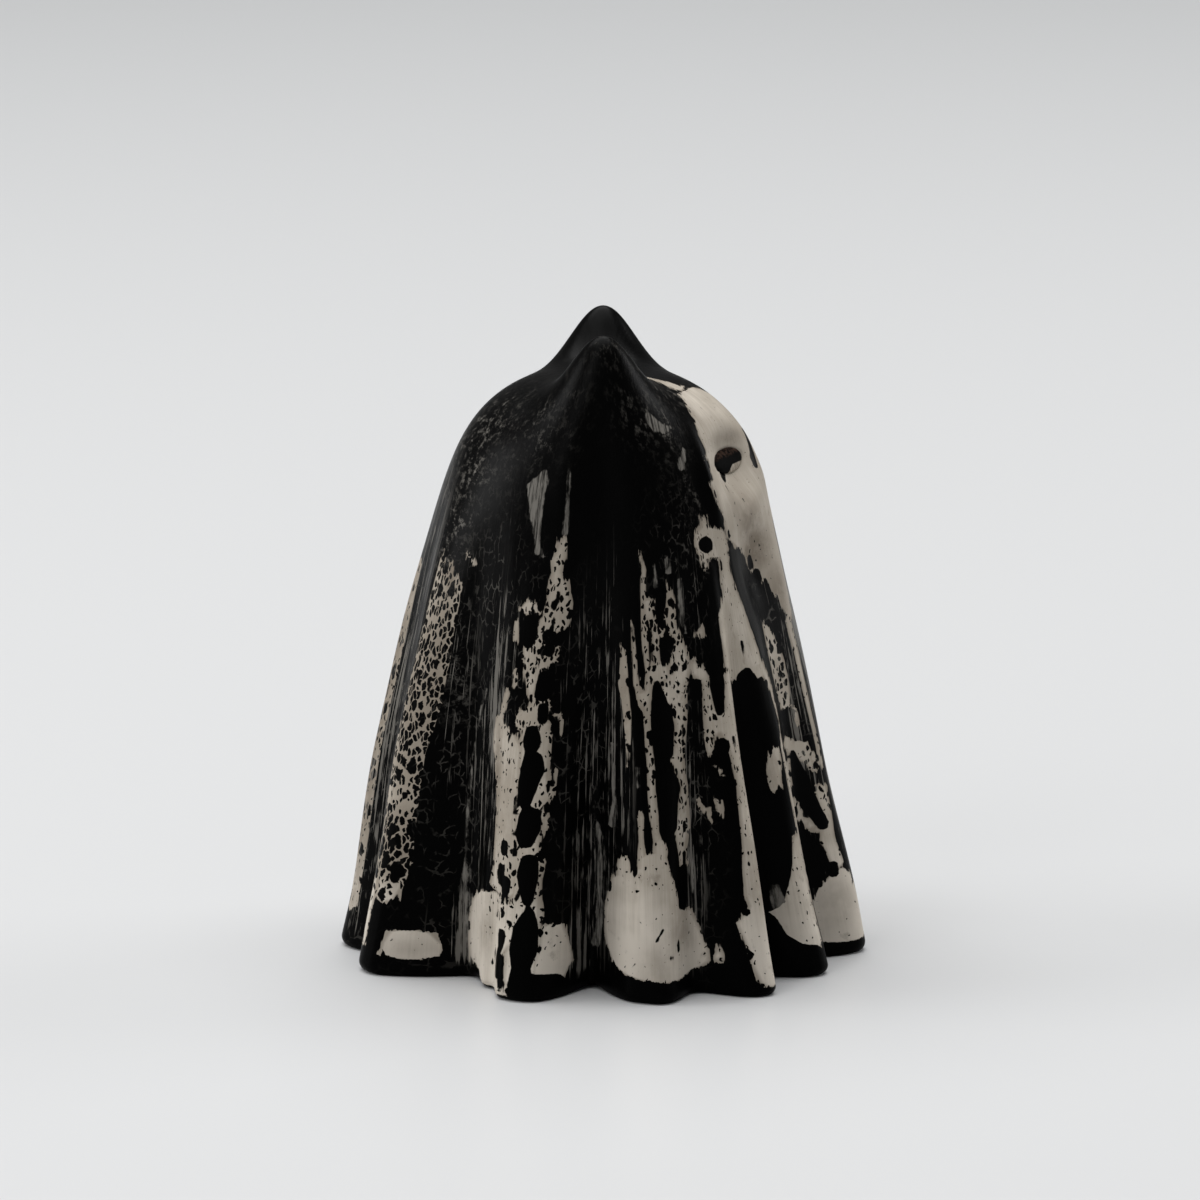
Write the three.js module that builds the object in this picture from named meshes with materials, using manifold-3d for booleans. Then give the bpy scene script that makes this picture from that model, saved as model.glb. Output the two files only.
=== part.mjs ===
// Ghost cat figurine: a cat under a draped sheet, cast as a thin shell and closed underneath.
// Millimetres, +Z up, origin on the resting plane under the middle of the hem. The face looks along -Y.
// A turn is an angle round the upright axis: 0 at the face, 90 at the cat's right side (-X), 180 at the back.
import * as THREE from "three";
import { mergeVertices } from "three/addons/utils/BufferGeometryUtils.js";
import Module from "manifold-3d";

// The sheet's main form
const CROWN_HEIGHT = 61.2;
const CROWN_SAG = 0.7;
const CROWN_SAG_REACH = 6.0;
const HEM_HALF_DEPTH = 27.3;
const HEM_HALF_WIDTH = 24.4;
const HEAD_HALF_DEPTH = 17.05;
const HEAD_HALF_WIDTH = 16.3;
const HEAD_DROP = 14.4; // from the crown down to where the skirt starts to flare
const CROWN_SQUARENESS = 14.5; // a higher power gives a flatter crown with a tighter shoulder
const BACK_BELLY = 0.9;
const BELLY_REACH = 0.9; // share of the way from the table to the head that the belly bows over
const HEM_EDGE_RADIUS = 1.1;

// The two ears push the sheet up beside the crown
const EAR_OFFSET = 9.6;
const EAR_RISE = 6.9;
const EAR_HALF_DEPTH = 4.5;
const EAR_HALF_WIDTH = 4.0;
const EAR_GROOVE = { depth: 0.6, turn: 91, drop: 9.5, halfWidth: 3.2, halfHeight: 5.0 };

// Folds, in order round the skirt: crests stand out and valleys run between them.
// hem and head are the turns at the hem and at the head, depth is a share of the deepest fold at the hem,
// and start is a share of the crown's height.
const FOLD_DEPTH = 7.4;
const FOLDS = [
  { hem: 2, head: 4, depth: 0, start: 0.76 },
  { hem: 15, head: 28, depth: 0.7, start: 0.8 },
  { hem: 27, head: 42, depth: 0.14, start: 0.83 },
  { hem: 39, head: 48, depth: 0.78, start: 0.73 },
  { hem: 50, head: 52, depth: -0.12, start: 0.76 },
  { hem: 63.5, head: 61, depth: 0.49, start: 0.76 },
  { hem: 77, head: 76, depth: 0, start: 0.7 },
  { hem: 94, head: 91, depth: 1, start: 1.01 },
  { hem: 110, head: 109, depth: 0.08, start: 0.83 },
  { hem: 137, head: 134, depth: 1, start: 0.83 },
  { hem: 157, head: 153, depth: 0, start: 0.89 },
  { hem: 171, head: 168, depth: 0.43, start: 0.88 },
  { hem: 184, head: 182, depth: 0, start: 0.83 },
  { hem: 198, head: 196, depth: 0.7, start: 0.78 },
  { hem: 211, head: 209, depth: 0.05, start: 0.83 },
  { hem: 227, head: 226, depth: 0.89, start: 0.84 },
  { hem: 246, head: 247, depth: 0, start: 0.79 },
  { hem: 266, head: 269, depth: 0.97, start: 1.01 },
  { hem: 283, head: 283, depth: 0.03, start: 0.76 },
  { hem: 297, head: 299, depth: 0.59, start: 0.74 },
  { hem: 310, head: 309, depth: 0.03, start: 0.76 },
  { hem: 322, head: 313, depth: 0.73, start: 0.73 },
  { hem: 333, head: 320, depth: 0.14, start: 0.83 },
  { hem: 347, head: 333, depth: 0.68, start: 0.79 },
];
const FOLD_ONSET = 1.35; // a higher power lets a fold deepen later
const CREST_BREADTH = 1.2; // a higher power gives broader crests and tighter valleys

// Small creases that only run up from the hem, in the same shares
const CREASES = [
  { turn: 122, halfTurn: 5.5, depth: 0.18, height: 0.4 },
  { turn: 149, halfTurn: 6, depth: 0.07, height: 0.66 },
  { turn: 80, halfTurn: 5, depth: 0.07, height: 0.3 },
  { turn: 238, halfTurn: 5, depth: 0.11, height: 0.43 },
  { turn: 290, halfTurn: 5, depth: 0.11, height: 0.33 },
];

// The face: a socket on each side, with a cheek and a hollow under it
const EYE_TURN = 23;
const EYE_DROP = 9.0;
const SOCKET = { depth: 1.5, halfWidth: 4.8, halfHeight: 2.8 };
const SOCKET_SQUARENESS = 1.5; // a higher power gives a flatter floor and a steeper side
const BROW_RIM = { height: 0.6, offset: 6.6, below: 1.4, halfWidth: 1.1, halfHeight: 4.6 };
const BRIDGE = { height: 0.6, drop: 9.0, halfWidth: 4.0, halfHeight: 4.2 };
const CHEEK = { height: 0.5, turn: 30, drop: 14.2, halfWidth: 3.2, halfHeight: 2.0 };
const HOLLOW = { depth: 0.8, turn: 29, drop: 19.6, halfWidth: 2.4, halfHeight: 4.0 };

// The eyes are separate domed ovals, each set in a blind pocket in its socket
const EYE_HALF_WIDTH = 3.2;
const EYE_HALF_HEIGHT = 1.25;
const EYE_BODY = 1.3;
const EYE_DOME = 0.35;
const EYE_PROUD = 0.1;
const EYE_SLOPE_STEP = 0.5; // how far above and below the eye its facing is taken
const EYE_TURN_STEP = 2; // and how far to each side, in degrees

// The cast wall, and the plug that closes the hollow from below
const WALL = 3.0; // at the bottom of the deepest fold
const HEAD_WALL = 5.0;
const CROWN_WALL = 10.4;
const CAVITY_SQUARENESS = 5;
const LEDGE_WIDTH = 1.2;
const PLUG_THICKNESS = 3.7;
const PLUG_CHAMFER = 0.5;
const CLEARANCE = 0.3; // between any two pieces
const CUTTER_OVERRUN = 1.0; // how far a cutter passes the face that it cuts

// Facets
const SHEET_COLUMN_DEGREES = 3;
const SHEET_ROWS = 36;
const HEM_ROWS = 3;
const CAVITY_SIDES = 48;
const CAVITY_RINGS = 9;
const PLUG_SIDES = 72;
const EYE_SIDES = 28;
const EYE_RINGS = 5;
const ROW_CROWDING = 1.25; // puts more rows near the crown
const LEVEL_POWER = 1.6;

const headLevel = CROWN_HEIGHT - HEAD_DROP;
const radians = THREE.MathUtils.degToRad;
const clamp = THREE.MathUtils.clamp;
const wrapTurn = (turn) => ((((turn + 180) % 360) + 360) % 360) - 180;
const bell = (across, along) => Math.exp(-across * across - along * along);

// Where a fold line lies at a level: 0 at the head, 1 at the hem
const foldTurn = (fold, level) => fold.head + (fold.hem - fold.head) * level;

function foldInset(fold, z) {
  const top = fold.start * CROWN_HEIGHT;
  return fold.depth * FOLD_DEPTH * clamp((top - z) / top, 0, 1) ** FOLD_ONSET;
}

// The inset between two neighbouring fold lines eases from one to the other
function easedInset(from, to, share) {
  const skewed = to > from ? share ** CREST_BREADTH : 1 - (1 - share) ** CREST_BREADTH;
  const mix = (1 - Math.cos(Math.PI * skewed)) / 2;
  return from + (to - from) * mix;
}

function skirtInset(turn, z) {
  const level = clamp(1 - z / headLevel, 0, 1);
  let inset = 0;
  FOLDS.forEach((fold, i) => {
    const next = FOLDS[(i + 1) % FOLDS.length];
    const start = foldTurn(fold, level);
    const span = wrapTurn(foldTurn(next, level) - start);
    const share = wrapTurn(turn - start) / span;
    if (share >= 0 && share < 1) inset = easedInset(foldInset(fold, z), foldInset(next, z), share);
  });
  for (const crease of CREASES) {
    const away = wrapTurn(turn - crease.turn) / crease.halfTurn;
    const rising = clamp(1 - z / (crease.height * CROWN_HEIGHT), 0, 1);
    if (Math.abs(away) < 1) inset += crease.depth * FOLD_DEPTH * rising * Math.cos((Math.PI / 2) * away) ** 2;
  }
  return inset;
}

// The face's relief at one turn and height, the same on both sides
function faceRelief(turn, z) {
  const mean = (HEAD_HALF_DEPTH + HEAD_HALF_WIDTH) / 2;
  const fromBridge = (z - (CROWN_HEIGHT - BRIDGE.drop)) / BRIDGE.halfHeight;
  let relief = BRIDGE.height * bell((radians(wrapTurn(turn)) * mean) / BRIDGE.halfWidth, fromBridge);
  for (const side of [1, -1]) {
    const arc = (target) => side * radians(wrapTurn(turn - side * target)) * mean;
    const spot = (feature, target) =>
      bell(arc(target) / feature.halfWidth, (z - (CROWN_HEIGHT - feature.drop)) / feature.halfHeight);
    const across = arc(EYE_TURN);
    const above = z - (CROWN_HEIGHT - EYE_DROP);
    const reach = Math.hypot(across / SOCKET.halfWidth, above / SOCKET.halfHeight);
    relief -= SOCKET.depth * Math.exp(-((reach * reach) ** SOCKET_SQUARENESS));
    const fromRim = (across - BROW_RIM.offset) / BROW_RIM.halfWidth;
    relief += BROW_RIM.height * bell(fromRim, (above + BROW_RIM.below) / BROW_RIM.halfHeight);
    relief += CHEEK.height * spot(CHEEK, CHEEK.turn);
    relief -= HOLLOW.depth * spot(HOLLOW, HOLLOW.turn);
    relief -= EAR_GROOVE.depth * spot(EAR_GROOVE, EAR_GROOVE.turn);
  }
  return relief;
}

// A point of the sheet's outer face: turn in degrees, z the height before the ears lift it
function sheetPoint(turn, z) {
  const angle = radians(turn);
  const [sin, cos] = [Math.sin(angle), Math.cos(angle)];
  const dome = Math.sqrt(Math.max(0, 1 - (z / CROWN_HEIGHT) ** CROWN_SQUARENESS));
  const up = z / headLevel;
  const belly = BACK_BELLY * Math.max(0, -cos) * Math.sin(Math.PI * clamp(BELLY_REACH * up, 0, 1)) ** 2;
  const halfDepth = HEM_HALF_DEPTH + (HEAD_HALF_DEPTH - HEM_HALF_DEPTH) * up + belly;
  const halfWidth = HEM_HALF_WIDTH + (HEAD_HALF_WIDTH - HEM_HALF_WIDTH) * up;
  const oval = 1 / Math.hypot(sin / halfWidth, cos / halfDepth);
  let radius = dome * (oval - skirtInset(turn, z) + faceRelief(turn, z));
  if (z < HEM_EDGE_RADIUS)
    radius -= HEM_EDGE_RADIUS - Math.sqrt(HEM_EDGE_RADIUS ** 2 - (HEM_EDGE_RADIUS - z) ** 2);
  const [x, y] = [-radius * sin, -radius * cos];
  let lift = -CROWN_SAG * bell(radius / CROWN_SAG_REACH, 0) * (1 - dome ** 4);
  for (const side of [1, -1])
    lift += EAR_RISE * bell((x - side * EAR_OFFSET) / EAR_HALF_WIDTH, y / EAR_HALF_DEPTH);
  return new THREE.Vector3(x, y, z + lift);
}

// One closed surface from rings of points, each ring in order round +Z, from the top pole to the bottom pole
function closedSurface(topPole, rings, bottomPole) {
  const sides = rings[0].length;
  const points = [topPole, ...rings.flat(), bottomPole];
  const at = (ring, side) => 1 + ring * sides + (side % sides);
  const faces = [];
  for (let side = 0; side < sides; side++) {
    faces.push(0, at(0, side), at(0, side + 1));
    faces.push(points.length - 1, at(rings.length - 1, side + 1), at(rings.length - 1, side));
    for (let ring = 0; ring + 1 < rings.length; ring++) {
      faces.push(at(ring, side), at(ring + 1, side), at(ring + 1, side + 1));
      faces.push(at(ring, side), at(ring + 1, side + 1), at(ring, side + 1));
    }
  }
  const geometry = new THREE.BufferGeometry().setFromPoints(points);
  geometry.setIndex(faces);
  return geometry;
}

// The grid's columns follow the fold lines, each fold side with as many as its width needs
const columns = FOLDS.flatMap((fold, i) => {
  const next = FOLDS[(i + 1) % FOLDS.length];
  const width = (wrapTurn(next.hem - fold.hem) + wrapTurn(next.head - fold.head)) / 2;
  const count = Math.max(2, Math.round(width / SHEET_COLUMN_DEGREES));
  return Array.from({ length: count }, (_, step) => ({ fold, next, share: step / count }));
});

function columnTurn({ fold, next, share }, z) {
  const level = clamp(1 - z / headLevel, 0, 1);
  const start = foldTurn(fold, level);
  return start + share * wrapTurn(foldTurn(next, level) - start);
}

function sheetGeometry() {
  const heights = [];
  for (let row = 1; row <= SHEET_ROWS; row++) {
    const down = (row / SHEET_ROWS) ** ROW_CROWDING;
    heights.push(HEM_EDGE_RADIUS + (CROWN_HEIGHT - HEM_EDGE_RADIUS) * (1 - down ** LEVEL_POWER));
  }
  for (let row = 1; row <= HEM_ROWS; row++)
    heights.push(HEM_EDGE_RADIUS * (1 - Math.sin((Math.PI / 2) * (row / HEM_ROWS))));
  const rings = heights.map((z) => columns.map((column) => sheetPoint(columnTurn(column, z), z)).reverse());
  return closedSurface(sheetPoint(0, CROWN_HEIGHT), rings, new THREE.Vector3(0, 0, 0));
}

// The hollow: an upright oval that tapers and closes in a dome under the crown
const cavityHalfWidth = HEM_HALF_WIDTH - FOLD_DEPTH - WALL;
const cavityHalfDepth = HEM_HALF_DEPTH - FOLD_DEPTH - WALL;
const cavityTop = CROWN_HEIGHT - CROWN_WALL;

function ovalLathe(profile, halfWidth, halfDepth, sides) {
  const points = profile.map(([radius, height]) => new THREE.Vector2(radius, height));
  const geometry = new THREE.LatheGeometry(points, sides);
  geometry.rotateX(Math.PI / 2);
  return geometry.scale(halfWidth, halfDepth, 1);
}

function cavityGeometry() {
  const taper = (HEAD_HALF_WIDTH - HEAD_WALL) / cavityHalfWidth;
  const profile = [
    [0, -CUTTER_OVERRUN],
    [1, -CUTTER_OVERRUN],
  ];
  for (let ring = 0; ring <= CAVITY_RINGS; ring++) {
    const z = cavityTop * Math.sin(((Math.PI / 2) * ring) / CAVITY_RINGS);
    const closing = Math.sqrt(Math.max(0, 1 - (z / cavityTop) ** CAVITY_SQUARENESS));
    profile.push([ring < CAVITY_RINGS ? (1 + (taper - 1) * (z / headLevel)) * closing : 0, z]);
  }
  return ovalLathe(profile, cavityHalfWidth, cavityHalfDepth, CAVITY_SIDES);
}

function rebateGeometry() {
  const profile = [
    [0, -CUTTER_OVERRUN],
    [1, -CUTTER_OVERRUN],
    [1, PLUG_THICKNESS + CLEARANCE],
    [0, PLUG_THICKNESS + CLEARANCE],
  ];
  return ovalLathe(profile, cavityHalfWidth + LEDGE_WIDTH, cavityHalfDepth + LEDGE_WIDTH, PLUG_SIDES);
}

function plugGeometry() {
  const halfWidth = cavityHalfWidth + LEDGE_WIDTH - CLEARANCE;
  const halfDepth = cavityHalfDepth + LEDGE_WIDTH - CLEARANCE;
  const inner = 1 - PLUG_CHAMFER / halfWidth;
  const profile = [
    [0, 0],
    [inner, 0],
    [1, PLUG_CHAMFER],
    [1, PLUG_THICKNESS - PLUG_CHAMFER],
    [inner, PLUG_THICKNESS],
    [0, PLUG_THICKNESS],
  ];
  return ovalLathe(profile, halfWidth, halfDepth, PLUG_SIDES);
}

// The place and facing of an eye: the middle of its socket's floor, looking out square to it
function eyePlace(side) {
  const z = CROWN_HEIGHT - EYE_DROP;
  const turn = side * EYE_TURN;
  const middle = sheetPoint(turn, z);
  const upward = sheetPoint(turn, z + EYE_SLOPE_STEP).sub(sheetPoint(turn, z - EYE_SLOPE_STEP)).normalize();
  const sideways = sheetPoint(turn - EYE_TURN_STEP, z).sub(sheetPoint(turn + EYE_TURN_STEP, z)).normalize();
  const outward = new THREE.Vector3().crossVectors(sideways, upward).normalize();
  const across = new THREE.Vector3().crossVectors(upward, outward);
  return new THREE.Matrix4().makeBasis(across, upward, outward).setPosition(middle);
}

function pocketGeometry() {
  const floor = EYE_PROUD - EYE_BODY - CLEARANCE;
  const mouth = SOCKET.depth + CUTTER_OVERRUN;
  const profile = [
    [0, floor],
    [1, floor],
    [1, mouth],
    [0, mouth],
  ];
  return ovalLathe(profile, EYE_HALF_WIDTH + CLEARANCE, EYE_HALF_HEIGHT + CLEARANCE, EYE_SIDES);
}

function eyeGeometry() {
  const profile = [
    [0, EYE_PROUD - EYE_BODY],
    [1, EYE_PROUD - EYE_BODY],
  ];
  for (let ring = 0; ring <= EYE_RINGS; ring++) {
    const swing = ((Math.PI / 2) * ring) / EYE_RINGS;
    profile.push([ring < EYE_RINGS ? Math.cos(swing) : 0, EYE_PROUD + EYE_DOME * Math.sin(swing)]);
  }
  return ovalLathe(profile, EYE_HALF_WIDTH, EYE_HALF_HEIGHT, EYE_SIDES);
}

const wasm = await Module();
wasm.setup();

function solid(geometry, place = new THREE.Matrix4()) {
  const bare = geometry.clone().applyMatrix4(place);
  bare.deleteAttribute("normal");
  bare.deleteAttribute("uv");
  const merged = mergeVertices(bare, 1e-4);
  return new wasm.Manifold(
    new wasm.Mesh({
      numProp: 3,
      vertProperties: merged.attributes.position.array,
      triVerts: new Uint32Array(merged.index.array),
    }),
  );
}

function meshFrom(name, body, material) {
  const { vertProperties, triVerts } = body.getMesh();
  const geometry = new THREE.BufferGeometry();
  geometry.setAttribute("position", new THREE.BufferAttribute(vertProperties, 3));
  geometry.setIndex(new THREE.BufferAttribute(triVerts, 1));
  geometry.computeVertexNormals();
  const mesh = new THREE.Mesh(geometry, material);
  mesh.name = name;
  return mesh;
}

const marbledResin = new THREE.MeshStandardMaterial({ color: 0x3a3835, roughness: 0.45, metalness: 0 });
const eyeBlack = new THREE.MeshStandardMaterial({ color: 0x0b0a0a, roughness: 0.3, metalness: 0 });
const plugBlack = new THREE.MeshStandardMaterial({ color: 0x1a1918, roughness: 0.6, metalness: 0 });

const eyePlaces = { right_eye: eyePlace(1), left_eye: eyePlace(-1) };

let shell = solid(sheetGeometry()).subtract(solid(cavityGeometry())).subtract(solid(rebateGeometry()));
for (const place of Object.values(eyePlaces)) shell = shell.subtract(solid(pocketGeometry(), place));

const figurine = new THREE.Group();
figurine.add(meshFrom("sheet_shell", shell, marbledResin));
figurine.add(meshFrom("base_plug", solid(plugGeometry()), plugBlack));
for (const [name, place] of Object.entries(eyePlaces))
  figurine.add(meshFrom(name, solid(eyeGeometry(), place), eyeBlack));

export default figurine;
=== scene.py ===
"""A ghost cat figurine: a cat under a draped sheet, cast in black resin marbled with warm cream.

Lengths in this script are millimetres and become metres when a mesh is made. Heights rise from the table.
A turn is an angle round the upright axis: 0 at the face (-Y), 90 at the right side (-X), 180 at the back.
A flow is the turn at which a line of the sheet reaches the hem, so one flow runs down along the folds.
"""
import math

import bpy
import numpy as np
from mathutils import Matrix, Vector


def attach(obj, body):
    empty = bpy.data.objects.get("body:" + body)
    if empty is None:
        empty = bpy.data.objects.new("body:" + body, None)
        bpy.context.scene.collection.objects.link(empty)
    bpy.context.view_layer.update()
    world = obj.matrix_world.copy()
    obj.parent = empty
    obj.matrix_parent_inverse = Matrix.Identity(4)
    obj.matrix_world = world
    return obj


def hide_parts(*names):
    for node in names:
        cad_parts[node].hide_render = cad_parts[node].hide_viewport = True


MM = 0.001

# The sheet's main form, as in the frame
CROWN_HEIGHT = 61.2
CROWN_SAG, CROWN_SAG_REACH = 0.7, 6.0
HEM_HALF_DEPTH, HEM_HALF_WIDTH = 27.3, 24.4
HEAD_HALF_DEPTH, HEAD_HALF_WIDTH = 17.05, 16.3
HEAD_LEVEL = CROWN_HEIGHT - 14.4
CROWN_SQUARENESS = 14.5
BACK_BELLY, BELLY_REACH = 0.9, 0.9
HEM_EDGE_RADIUS = 1.1
EAR_OFFSET, EAR_RISE = 9.6, 6.9
EAR_HALF_DEPTH, EAR_HALF_WIDTH = 4.5, 4.0
LEVEL_POWER = 1.6
MEAN_HEAD_RADIUS = (HEAD_HALF_DEPTH + HEAD_HALF_WIDTH) / 2

# Fold lines in order round the skirt: turn at the hem, turn at the head, share of the deepest fold, and
# where the fold starts as a share of the crown's height
FOLD_DEPTH = 7.4
FOLDS = np.array([
    (2, 4, 0, 0.76), (15, 28, 0.7, 0.8), (27, 42, 0.14, 0.83), (39, 48, 0.78, 0.73), (50, 52, -0.12, 0.76),
    (63.5, 61, 0.49, 0.76), (77, 76, 0, 0.7), (94, 91, 1, 1.01), (110, 109, 0.08, 0.83), (137, 134, 1, 0.83),
    (157, 153, 0, 0.89), (171, 168, 0.43, 0.88), (184, 182, 0, 0.83), (198, 196, 0.7, 0.78),
    (211, 209, 0.05, 0.83), (227, 226, 0.89, 0.84), (246, 247, 0, 0.79), (266, 269, 0.97, 1.01),
    (283, 283, 0.03, 0.76), (297, 299, 0.59, 0.74), (310, 309, 0.03, 0.76), (322, 313, 0.73, 0.73),
    (333, 320, 0.14, 0.83), (347, 333, 0.68, 0.79),
])
FOLD_ONSET, CREST_BREADTH = 1.35, 1.2

# Small creases that only run up from the hem, in the same shares: turn, half turn, depth, height
CREASES = [
    (122, 5.5, 0.18, 0.4), (149, 6, 0.07, 0.66), (80, 5, 0.07, 0.3), (238, 5, 0.11, 0.43),
    (290, 5, 0.11, 0.33),
]

# The sockets, each with a soft rim on the side away from the nose, and the eyes
EYE_TURN, EYE_HEIGHT = 23, CROWN_HEIGHT - 9.0
SOCKET_DEPTH, SOCKET_HALF_WIDTH, SOCKET_HALF_HEIGHT = 1.5, 4.8, 2.8
SOCKET_SQUARENESS = 1.5
RIM_RISE, RIM_OUT, RIM_BELOW, RIM_HALF_WIDTH, RIM_HALF_HEIGHT = 0.6, 6.6, 1.4, 1.1, 4.6
EYE_HALF_WIDTH, EYE_HALF_HEIGHT, EYE_PROUD, EYE_DOME, EYE_BODY = 3.2, 1.25, 0.1, 0.35, 1.3
EYE_EDGE = (0.97, 0.15)  # just under the dome: a share of the half sizes, and mm sunk
EYE_SKIRT = ((0.85, 0.45), (0.6, 0.8))  # further down: shares of the half sizes and of the body's depth
POCKET_REACH = 8.0
POCKET_FLOOR, POCKET_MOUTH = 0.75, 1.02  # as shares of the eye's half sizes

# Soft forms of the head: turn, depth under the crown, half width, half height, and how far each stands out
BRIDGE = (0, 9.0, 4.0, 4.2, 0.6)
PAIRED_FORMS = {
    "cheek": (30, 14.2, 3.2, 2.0, 0.5),
    "hollow under the cheek": (29, 19.6, 2.4, 4.0, -0.8),
    "ear's outer groove": (91, 9.5, 3.2, 5.0, -0.6),
}

# The slow waves of a hand-poured cast: waves in a lap, mm up to a radian, phase, and height
POURED_WAVES = [(5, 4.1, 0.6, 0.07), (11, -6.3, 2.1, 0.05), (23, 2.9, 4.0, 0.04), (37, -8.7, 1.3, 0.03)]
WAVES_FULL_ABOVE = 6.0
WAVES_GONE_AT, WAVES_FULL_BELOW = HEAD_LEVEL + 4, HEAD_LEVEL - 12

# The hollow, its ledge and the plug
WALL, HEAD_WALL, CROWN_WALL = 3.0, 5.0, 10.4
CAVITY_TOP = CROWN_HEIGHT - CROWN_WALL
CAVITY_HALF_WIDTH = HEM_HALF_WIDTH - FOLD_DEPTH - WALL
CAVITY_HALF_DEPTH = HEM_HALF_DEPTH - FOLD_DEPTH - WALL
CAVITY_SQUARENESS = 5
LEDGE_WIDTH, PLUG_THICKNESS, PLUG_EDGE, CLEARANCE = 1.2, 3.7, 0.5, 0.3

# How finely the pieces are meshed
COLUMN_DEGREES = 0.95
SHEET_ROWS, ROW_CROWDING = 200, 1.25
HEM_ROWS = 8
VAULT_ROWS = 12
PLUG_COLUMN_DEGREES = 2.0
EYE_COLUMNS = 48


def wrap(turn):
    """The same angle between -180 and 180 degrees."""
    return (turn + 180) % 360 - 180


def bell(across, along=0.0):
    """A smooth bump: e to minus the squares of the two distances."""
    return np.exp(-across ** 2 - along ** 2)


def smooth_step(value, low, high):
    """0 below low, 1 above high, and a cubic ease between them."""
    share = np.clip((value - low) / (high - low), 0, 1)
    return share * share * (3 - 2 * share)


def fold_inset(depth, start, z):
    """How far in a fold line lies at height z: nothing above its start, then a power of the way down."""
    top = start * CROWN_HEIGHT
    return depth * FOLD_DEPTH * np.clip((top - z) / top, 0, 1) ** FOLD_ONSET


class Flow:
    """The sheet's columns: each lies between two fold lines, at a share of the way from one to the next."""

    def __init__(self, step=COLUMN_DEGREES):
        following = np.roll(FOLDS, -1, 0)
        width = (wrap(following[:, 0] - FOLDS[:, 0]) + wrap(following[:, 1] - FOLDS[:, 1])) / 2
        counts = np.maximum(2, np.round(width / step)).astype(int)
        self.fold = np.repeat(np.arange(len(FOLDS)), counts)
        self.next = (self.fold + 1) % len(FOLDS)
        self.share = np.concatenate([np.arange(count) / count for count in counts])
        first = FOLDS[self.fold, 0]
        self.hem_turn = first + self.share * wrap(FOLDS[self.next, 0] - first)

    def turn(self, z):
        """Each column's turn at height z: from the fold lines' turns at the head to those at the hem."""
        level = np.clip(1 - z / HEAD_LEVEL, 0, 1)
        here = FOLDS[self.fold, 1] + (FOLDS[self.fold, 0] - FOLDS[self.fold, 1]) * level
        there = FOLDS[self.next, 1] + (FOLDS[self.next, 0] - FOLDS[self.next, 1]) * level
        return here + self.share * wrap(there - here)

    def inset(self, z):
        """The fold's inset at height z, eased between the two lines with broad crests and tight valleys."""
        here = fold_inset(FOLDS[self.fold, 2], FOLDS[self.fold, 3], z)
        there = fold_inset(FOLDS[self.next, 2], FOLDS[self.next, 3], z)
        skewed = np.where(there > here, self.share ** CREST_BREADTH, 1 - (1 - self.share) ** CREST_BREADTH)
        return here + (there - here) * (1 - np.cos(np.pi * skewed)) / 2


def crease_inset(turn, z):
    """Narrow rounded grooves that fade out upwards from the hem."""
    inset = np.zeros(np.broadcast(turn, z).shape)
    for crease_turn, half_turn, depth, height in CREASES:
        away = np.clip(wrap(turn - crease_turn) / half_turn, -1, 1)
        rising = np.clip(1 - z / (height * CROWN_HEIGHT), 0, 1)
        inset += depth * FOLD_DEPTH * rising * np.cos(np.pi / 2 * away) ** 2
    return inset


def soft_form(turn, z, side, form):
    """A bell on the head: what it stands out by, times e to minus the squares of the two distances."""
    form_turn, below_crown, half_width, half_height, rise = form
    across = np.radians(wrap(turn - side * form_turn)) * MEAN_HEAD_RADIUS
    return rise * bell(across / half_width, (z - CROWN_HEIGHT + below_crown) / half_height)


def face_relief(turn, z):
    """The head's soft forms, and sockets, each a rimmed dent: e to minus a power of the distance."""
    relief = soft_form(turn, z, 1, BRIDGE)
    for side in (1, -1):
        across = side * np.radians(wrap(turn - side * EYE_TURN)) * MEAN_HEAD_RADIUS
        above = z - EYE_HEIGHT
        reach = (across / SOCKET_HALF_WIDTH) ** 2 + (above / SOCKET_HALF_HEIGHT) ** 2
        relief = relief - SOCKET_DEPTH * np.exp(-reach ** SOCKET_SQUARENESS)
        rim = bell((across - RIM_OUT) / RIM_HALF_WIDTH, (above + RIM_BELOW) / RIM_HALF_HEIGHT)
        relief = relief + RIM_RISE * rim
        for form in PAIRED_FORMS.values():
            relief = relief + soft_form(turn, z, side, form)
    return relief


def oval_radius(turn, half_width, half_depth):
    """Distance from the axis to an ellipse at a turn."""
    angle = np.radians(turn)
    return 1 / np.hypot(np.sin(angle) / half_width, np.cos(angle) / half_depth)


def oval_ring(turns, half_width, half_depth, z):
    """A level ring of points on an ellipse."""
    radius = oval_radius(turns, half_width, half_depth)
    angle = np.radians(turns)
    return np.stack([-radius * np.sin(angle), -radius * np.cos(angle), np.full_like(radius, z)], -1)


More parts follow.
